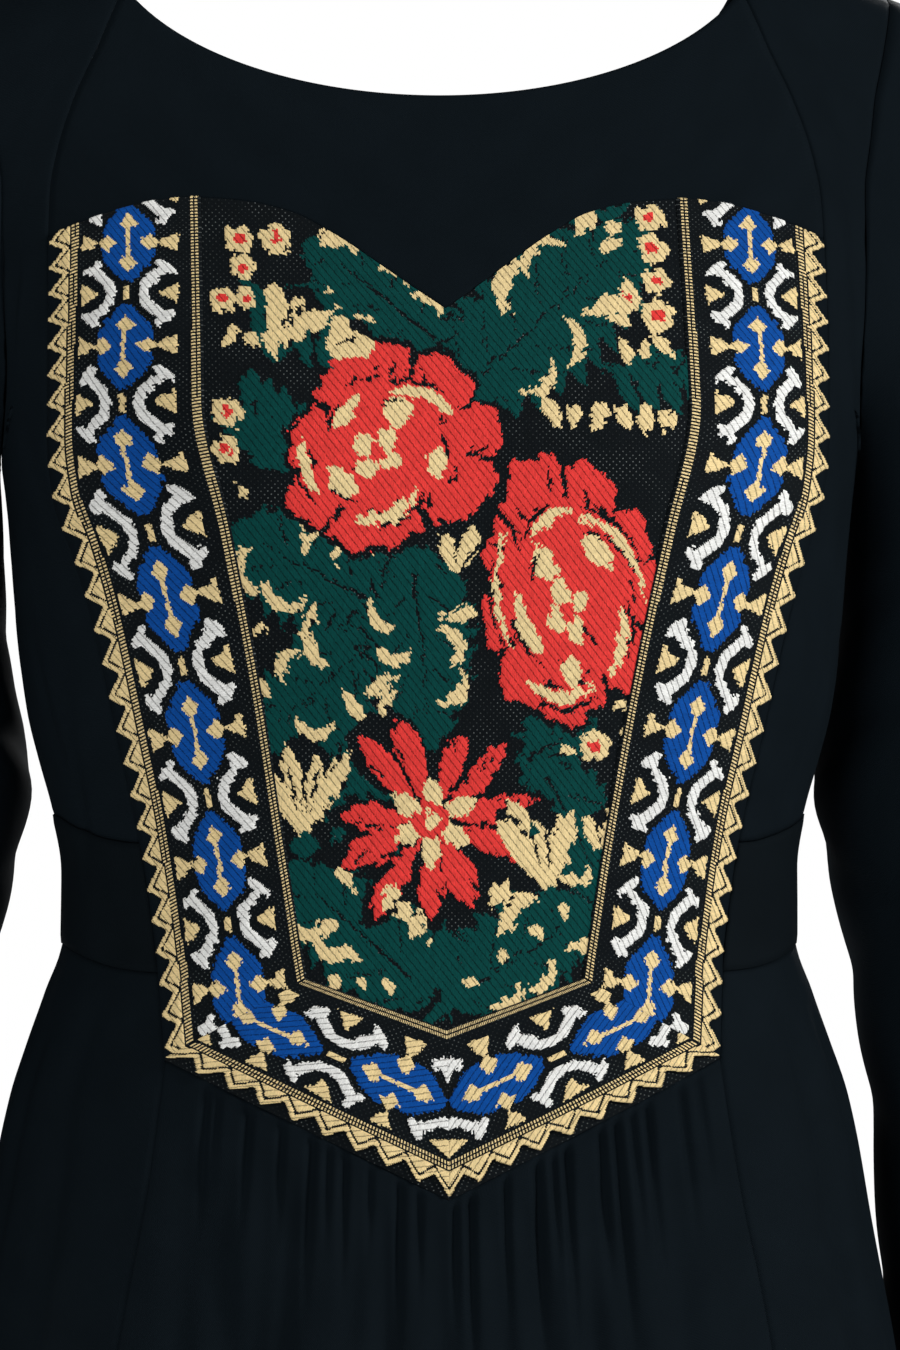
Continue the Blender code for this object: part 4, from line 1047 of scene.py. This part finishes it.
def ribbonYarnAt(t, along, gap, rowNumber):
    # motifs, two ladder edges, and the zigzag with its dark line; gap is the way to the edge
    inRepeat = (along / ribbon["repeat"] + 0.5) % 1.0 * ribbon["repeat"] - ribbon["repeat"] / 2
    loom = motifAt(t, inRepeat)
    loom.paint("ground", (t < ribbon["motifsFrom"]) | (t > ribbon["motifsTo"]))
    for start in ladder["starts"]:
        offSpine = np.abs(t - start - ladder["width"] / 2) > ladder["spine"]
        tick = (t > start) & (t < start + ladder["width"]) & offSpine & (rowNumber % 2 == 0)
        loom.paint("cream", tick)
    teeth = t > ribbon["teethFrom"]
    inDark = (gap > ribbon["stripe"]) & (gap < ribbon["stripe"] + ribbon["darkLine"])
    loom.paint("cream", teeth)
    loom.paint("ground", teeth & inDark)
    return loom.kind


def arcShares(spots, rows, columns, fromFirst):
    # how far across the strip each point is, as a share of the whole way along the cloth
    way = wayAlong(spots.reshape(rows + 1, columns + 1, 3), 1)
    if fromFirst:
        return (way / way[:, -1:]).ravel(), way[:, -1]
    way = way[:, -1:] - way
    return (way / way[:, :1]).ravel(), way[:, 0]


def sideStripPlace(side, s, d):
    edgeHeight = mix(points["outerTop"], points["outerFoot"], d)
    innerHeight = mix(points["innerTop"], points["innerFoot"], d)
    topAcross = mix(ribbonAcross["innerTop"], ribbonAcross["outerTop"], s)
    bow = (panelTopAt(topAcross) - mix(points["innerTop"], points["outerTop"], s)) * (1 - d)
    across = side * mix(ribbonInnerAt(innerHeight), panelEdgeAt(edgeHeight), s)
    height = mix(innerHeight, edgeHeight, s) + bow
    return turnOf(across, height), height


def bottomStripPlace(side, p, s):
    cornerAcross = mix(ribbonAcross["innerFoot"], ribbonAcross["outerFoot"], s)
    cornerHeight = mix(points["innerFoot"], points["outerFoot"], s)
    height = mix(mix(points["innerPoint"], points["outerPoint"], s), cornerHeight, p)
    return turnOf(side * p * cornerAcross, height), height


def tooth(phase):
    # 1 at a tip, 0 in a valley, with a tip at each whole number
    return np.abs((phase % 1.0) - 0.5) * 2


def weaveRibbon(mesh, t, along, gap, rowOf):
    # each cell's place on the ribbon and its yarn; the motifs' edges step along the ribs
    cellT, cellAlong, cellGap, cellRow = cellMeans(mesh, t, along, gap, rowOf)
    cellRow = np.floor(cellRow + 0.01).astype(int)
    c, s = math.cos(ribbon["tieWay"]), math.sin(ribbon["tieWay"])
    rib = np.floor((cellT * s - cellAlong * c) / ribbon["tiePitch"])
    shift = 0.85 * grainNoise(rib, np.floor(cellAlong / 6), 4) + 0.5 * grainNoise(cellRow, rib, 8)
    shift = np.where((cellT > ribbon["motifsFrom"]) & (cellT < ribbon["motifsTo"]), shift, 0.0)
    kind = ribbonYarnAt(cellT + shift * c, cellAlong + shift * s, cellGap, cellRow)
    return {"t": cellT, "along": cellAlong, "gap": cellGap, "kind": kind}


def finishRibbon(name, mesh, points3d, uv, woven, seed, replaced):
    # raises the yarns, cuts the zigzag edge and turns a rim back all round
    spots, way = points3d
    lift = meanAtPoints(mesh, yarnRaised[woven["kind"]], len(spots))
    setPoints(mesh, spots + way * (ribbon["lift"] + lift)[:, None])
    setUv(mesh, *uv)
    tone = grainNoise(np.floor(woven["t"] / 3), np.floor(woven["along"] / ribbon["tiePitch"]), seed)
    paintCells(mesh, woven["kind"], tone)
    bm = bmesh.new()
    bm.from_mesh(mesh)
    bm.faces.ensure_lookup_table()
    beyond = [bm.faces[i] for i in np.flatnonzero(woven["gap"] < 0)]
    bmesh.ops.delete(bm, geom=beyond, context="FACES")
    edges = [edge for edge in bm.edges if edge.is_boundary]
    made = bmesh.ops.extrude_edge_only(bm, edges=edges)
    for vert in [g for g in made["geom"] if isinstance(g, bmesh.types.BMVert)]:
        outward = Vector((vert.co.x, vert.co.y + 0.016, 0.0)).normalized()
        vert.co -= outward * ribbon["rim"] * mm
    bm.to_mesh(mesh)
    bm.free()
    return addPiece(name, mesh, ribbonWeave, replaced)


def repeatOf(height):
    # which repeat a height is in; above the first one they are evenly spaced
    beyond = np.maximum(0.0, height - ribbon["firstHeight"])
    return repeatAt(height) - beyond / ribbon["firstRepeat"]


def makeSideRibbon(word, side):
    columns, rows = ribbon["cells"]
    mesh, u, v = gridMesh("woven_ribbon_" + word, columns, rows)
    s = mix(0.002, 1.0, outFrom(side, u))
    turn, height = sideStripPlace(side, s, v)
    spots, way = foldedForm(turn, height), facingOf(foldedForm, turn, height)
    share, wide = arcShares(spots, rows, columns, side > 0)
    t = share * ribbon["width"]
    # heights where the cross line through each point meets the strip's middle
    x, z = np.abs(spots[:, 0]), spots[:, 2]
    middleShare = ribbon["middle"] / ribbon["width"] * 0.98
    lineTurn, lineHeight = sideStripPlace(1, np.full(400, middleShare), np.linspace(0, 1, 400))
    lineX = frontAcross(lineTurn, lineHeight)
    lineZ = smoothForm(lineTurn, lineHeight)[:, 2]
    middleZ = z.copy()
    for nearer in range(3):
        middleX = np.interp(-middleZ, -lineZ, lineX)
        middleZ = z + (x - middleX) * np.tan(np.radians(crossLeanAt(middleZ)))
    along = repeatOf(middleZ) * ribbon["repeat"]
    phase = repeatOf(mix(points["outerTop"], points["outerFoot"], v)) * ribbon["teeth"]
    edgeShare = mix(ribbon["valley"], ribbon["tip"], tooth(phase))
    gap = (edgeShare - s) * np.repeat(wide, columns + 1)
    woven = weaveRibbon(mesh, t, along, gap, v * rows)
    return finishRibbon("woven_ribbon_" + word, mesh, (spots, way), (t, -side * along), woven, 6,
                        ["ribbon_" + word])


def makeBottomRibbon(word, side):
    # here the strip runs across the mesh and its width runs down it
    columns, rows = ribbon["cellsBelow"]
    mesh, u, v = gridMesh("woven_ribbon_bottom_" + word, rows, columns)
    p, s = outFrom(side, u), v
    turn, height = bottomStripPlace(side, p, s)
    spots, way = foldedForm(turn, height), facingOf(foldedForm, turn, height)
    net = spots.reshape(columns + 1, rows + 1, 3)[::-1]
    down = wayAlong(net, 0)
    wide = np.repeat(down[-1][None, :], columns + 1, axis=0)
    t = (down / wide)[::-1].ravel() * ribbon["width"]
    middleRow = net[int(columns * ribbon["middle"] / ribbon["width"])]
    perMm = wayAlong(middleRow, 0)[-1] / ribbon["lengthBelow"]
    # rows across the strip are square to it, so the place along is found on the strip's middle
    middleShare = np.full(300, ribbon["middle"] / ribbon["width"])
    middleTurn, middleZ = bottomStripPlace(1, np.linspace(0, 1, 300), middleShare)
    middleLine = np.abs(frontAcross(middleTurn, middleZ))
    flatAcross = np.abs(frontAcross(turn, height))
    slope = np.interp(flatAcross, middleLine, np.gradient(middleZ, middleLine))
    offMiddle = np.interp(flatAcross, middleLine, middleZ) - height
    along = (flatAcross - offMiddle * slope / (1 + slope ** 2)) * perMm
    edgeShare = mix(ribbon["valley"], ribbon["tip"], tooth(p * ribbon["teethBelow"]))
    gap = (edgeShare - s) * wide.ravel()
    woven = weaveRibbon(mesh, t, along - ribbon["firstBelow"], gap, p * rows)
    # a small diamond of its own where the two strips meet
    loom, cellT = Loom(woven["t"], woven["along"], woven["kind"]), woven["t"]
    fromCentre = np.abs(cellMeans(mesh, flatAcross)[0])
    inMiddle = (cellT > 37.5) & (cellT < ribbon["motifsTo"]) & (fromCentre < 12.0)
    inMiddle &= loom.kind != yarnNames.index("white")
    loom.paint("ground", inMiddle)
    loom.paint("cream", inMiddle & (np.abs(cellT - 42.3) / 3.3 + fromCentre / 7.5 < 1.0))
    return finishRibbon("woven_ribbon_bottom_" + word, mesh, (spots, way), (t, side * along), woven, 7,
                        ["ribbon_bottom_" + word])


groundCut = {"cells": (20, 100), "flat": (62, 345), "area": 0.0195, "held": "hung"}
groundCutBelow = {"cells": (40, 20), "flat": (118, 62), "area": 0.0058, "held": "hung"}
for word, side in (("left", -1), ("right", 1)):
    makeSideRibbon(word, side)
    makeBottomRibbon(word, side)
    # the black ground that the ribbons are sewn on
    clothPiece("ribbon_ground_" + word, groundCut, lambda u, v: sideStripPlace(side, outFrom(side, u), v),
               blackTwill, ["front_panel"], surface=foldedForm)
    below = clothPiece("ribbon_ground_bottom_" + word, groundCutBelow,
                       lambda u, v: bottomStripPlace(side, outFrom(side, u), v), ribbonWeave,
                       ["front_panel"], surface=foldedForm)
    plain = np.zeros(len(below.data.polygons), int)
    paintCells(below.data, plain, plain)
print("ribbons ready")


# Floor, lights and camera
studio = {"floorHeight": -1.35, "floorHalf": 6.0, "floorColour": "#e9eaec", "distance": 3.0,
          "frontPlane": 0.115, "turn": 4.0, "aside": 0.0091, "height": -0.283, "seenTall": 0.4995,
          "sensor": 36.0}


def makeFloor():
    mesh, u, v = gridMesh("studio_floor", 2, 2)
    half, low = studio["floorHalf"] / mm, studio["floorHeight"] / mm
    setPoints(mesh, np.stack([(2 * u - 1) * half, (1 - 2 * v) * half, np.full_like(u, low)], axis=-1))
    floor = addObject("studio_floor", mesh)
    paint = bpy.data.materials.new("matt studio floor paint")
    paint.use_nodes = True
    shader = paint.node_tree.nodes["Principled BSDF"]
    shader.inputs["Base Color"].default_value = toLinear(studio["floorColour"])
    shader.inputs["Roughness"].default_value = 0.9
    # the floor looks evenly lit from every side, without lighting the cloth from below
    seen = addNode(paint.node_tree, "ShaderNodeLightPath")
    shown = calc(paint.node_tree, "MULTIPLY", seen.outputs["Is Camera Ray"], 0.55)
    shader.inputs["Emission Color"].default_value = toLinear(studio["floorColour"])
    paint.node_tree.links.new(shown, shader.inputs["Emission Strength"])
    mesh.materials.append(paint)


def addLight(name, spot, aim, size, power, tint="#ffffff"):
    lamp = bpy.data.lights.new(name, "AREA")
    lamp.shape = "RECTANGLE"
    lamp.size, lamp.size_y = size
    lamp.energy = power
    lamp.color = toLinear(tint)[:3]
    light = addObject(name, lamp)
    light.location = spot
    light.rotation_euler = (Vector(aim) - Vector(spot)).to_track_quat("-Z", "Y").to_euler()


makeFloor()
addLight("key light from the upper right", (2.3, -1.2, 0.8), (0, 0, -0.35), (0.6, 0.6), 58)
addLight("soft light beside the camera", (-1.5, -2.7, 0.7), (0, 0, -0.3), (1.2, 1.2), 39)
addLight("high light from behind", (1.1, 2.5, 0.9), (0, 0, -0.3), (0.9, 0.9), 75)
addLight("low light from behind at the left", (-2.3, 1.5, 0.4), (0, 0, -0.35), (0.7, 1.0), 40)

world = bpy.data.worlds.new("white studio")
bpy.context.scene.world = world
world.use_nodes = True
sky = world.node_tree.nodes["Background"]
sky.inputs["Color"].default_value = (1.0, 1.0, 1.0, 1.0)
# the backdrop shows near white, and lights the cloth less than the lamps do
seen = addNode(world.node_tree, "ShaderNodeLightPath")
shown = spread(world.node_tree, seen.outputs["Is Camera Ray"], (0.0, 1.0), (0.14, 1.0))
world.node_tree.links.new(shown, sky.inputs["Strength"])
bpy.context.scene.view_settings.view_transform = "Standard"

turnAside = math.radians(studio["turn"])
ahead = Vector((math.sin(turnAside), math.cos(turnAside), 0.0))
toRight = Vector((math.cos(turnAside), -math.sin(turnAside), 0.0))
cameraData = bpy.data.cameras.new("camera")
cameraData.sensor_fit = "VERTICAL"
cameraData.sensor_height = studio["sensor"]
cameraData.lens = studio["sensor"] * studio["distance"] / studio["seenTall"]
camera = addObject("camera", cameraData)
camera.location = -ahead * (studio["distance"] + studio["frontPlane"]) + toRight * studio["aside"]
camera.location.z = studio["height"]
camera.rotation_euler = (math.pi / 2, 0.0, -turnAside)
bpy.context.scene.camera = camera
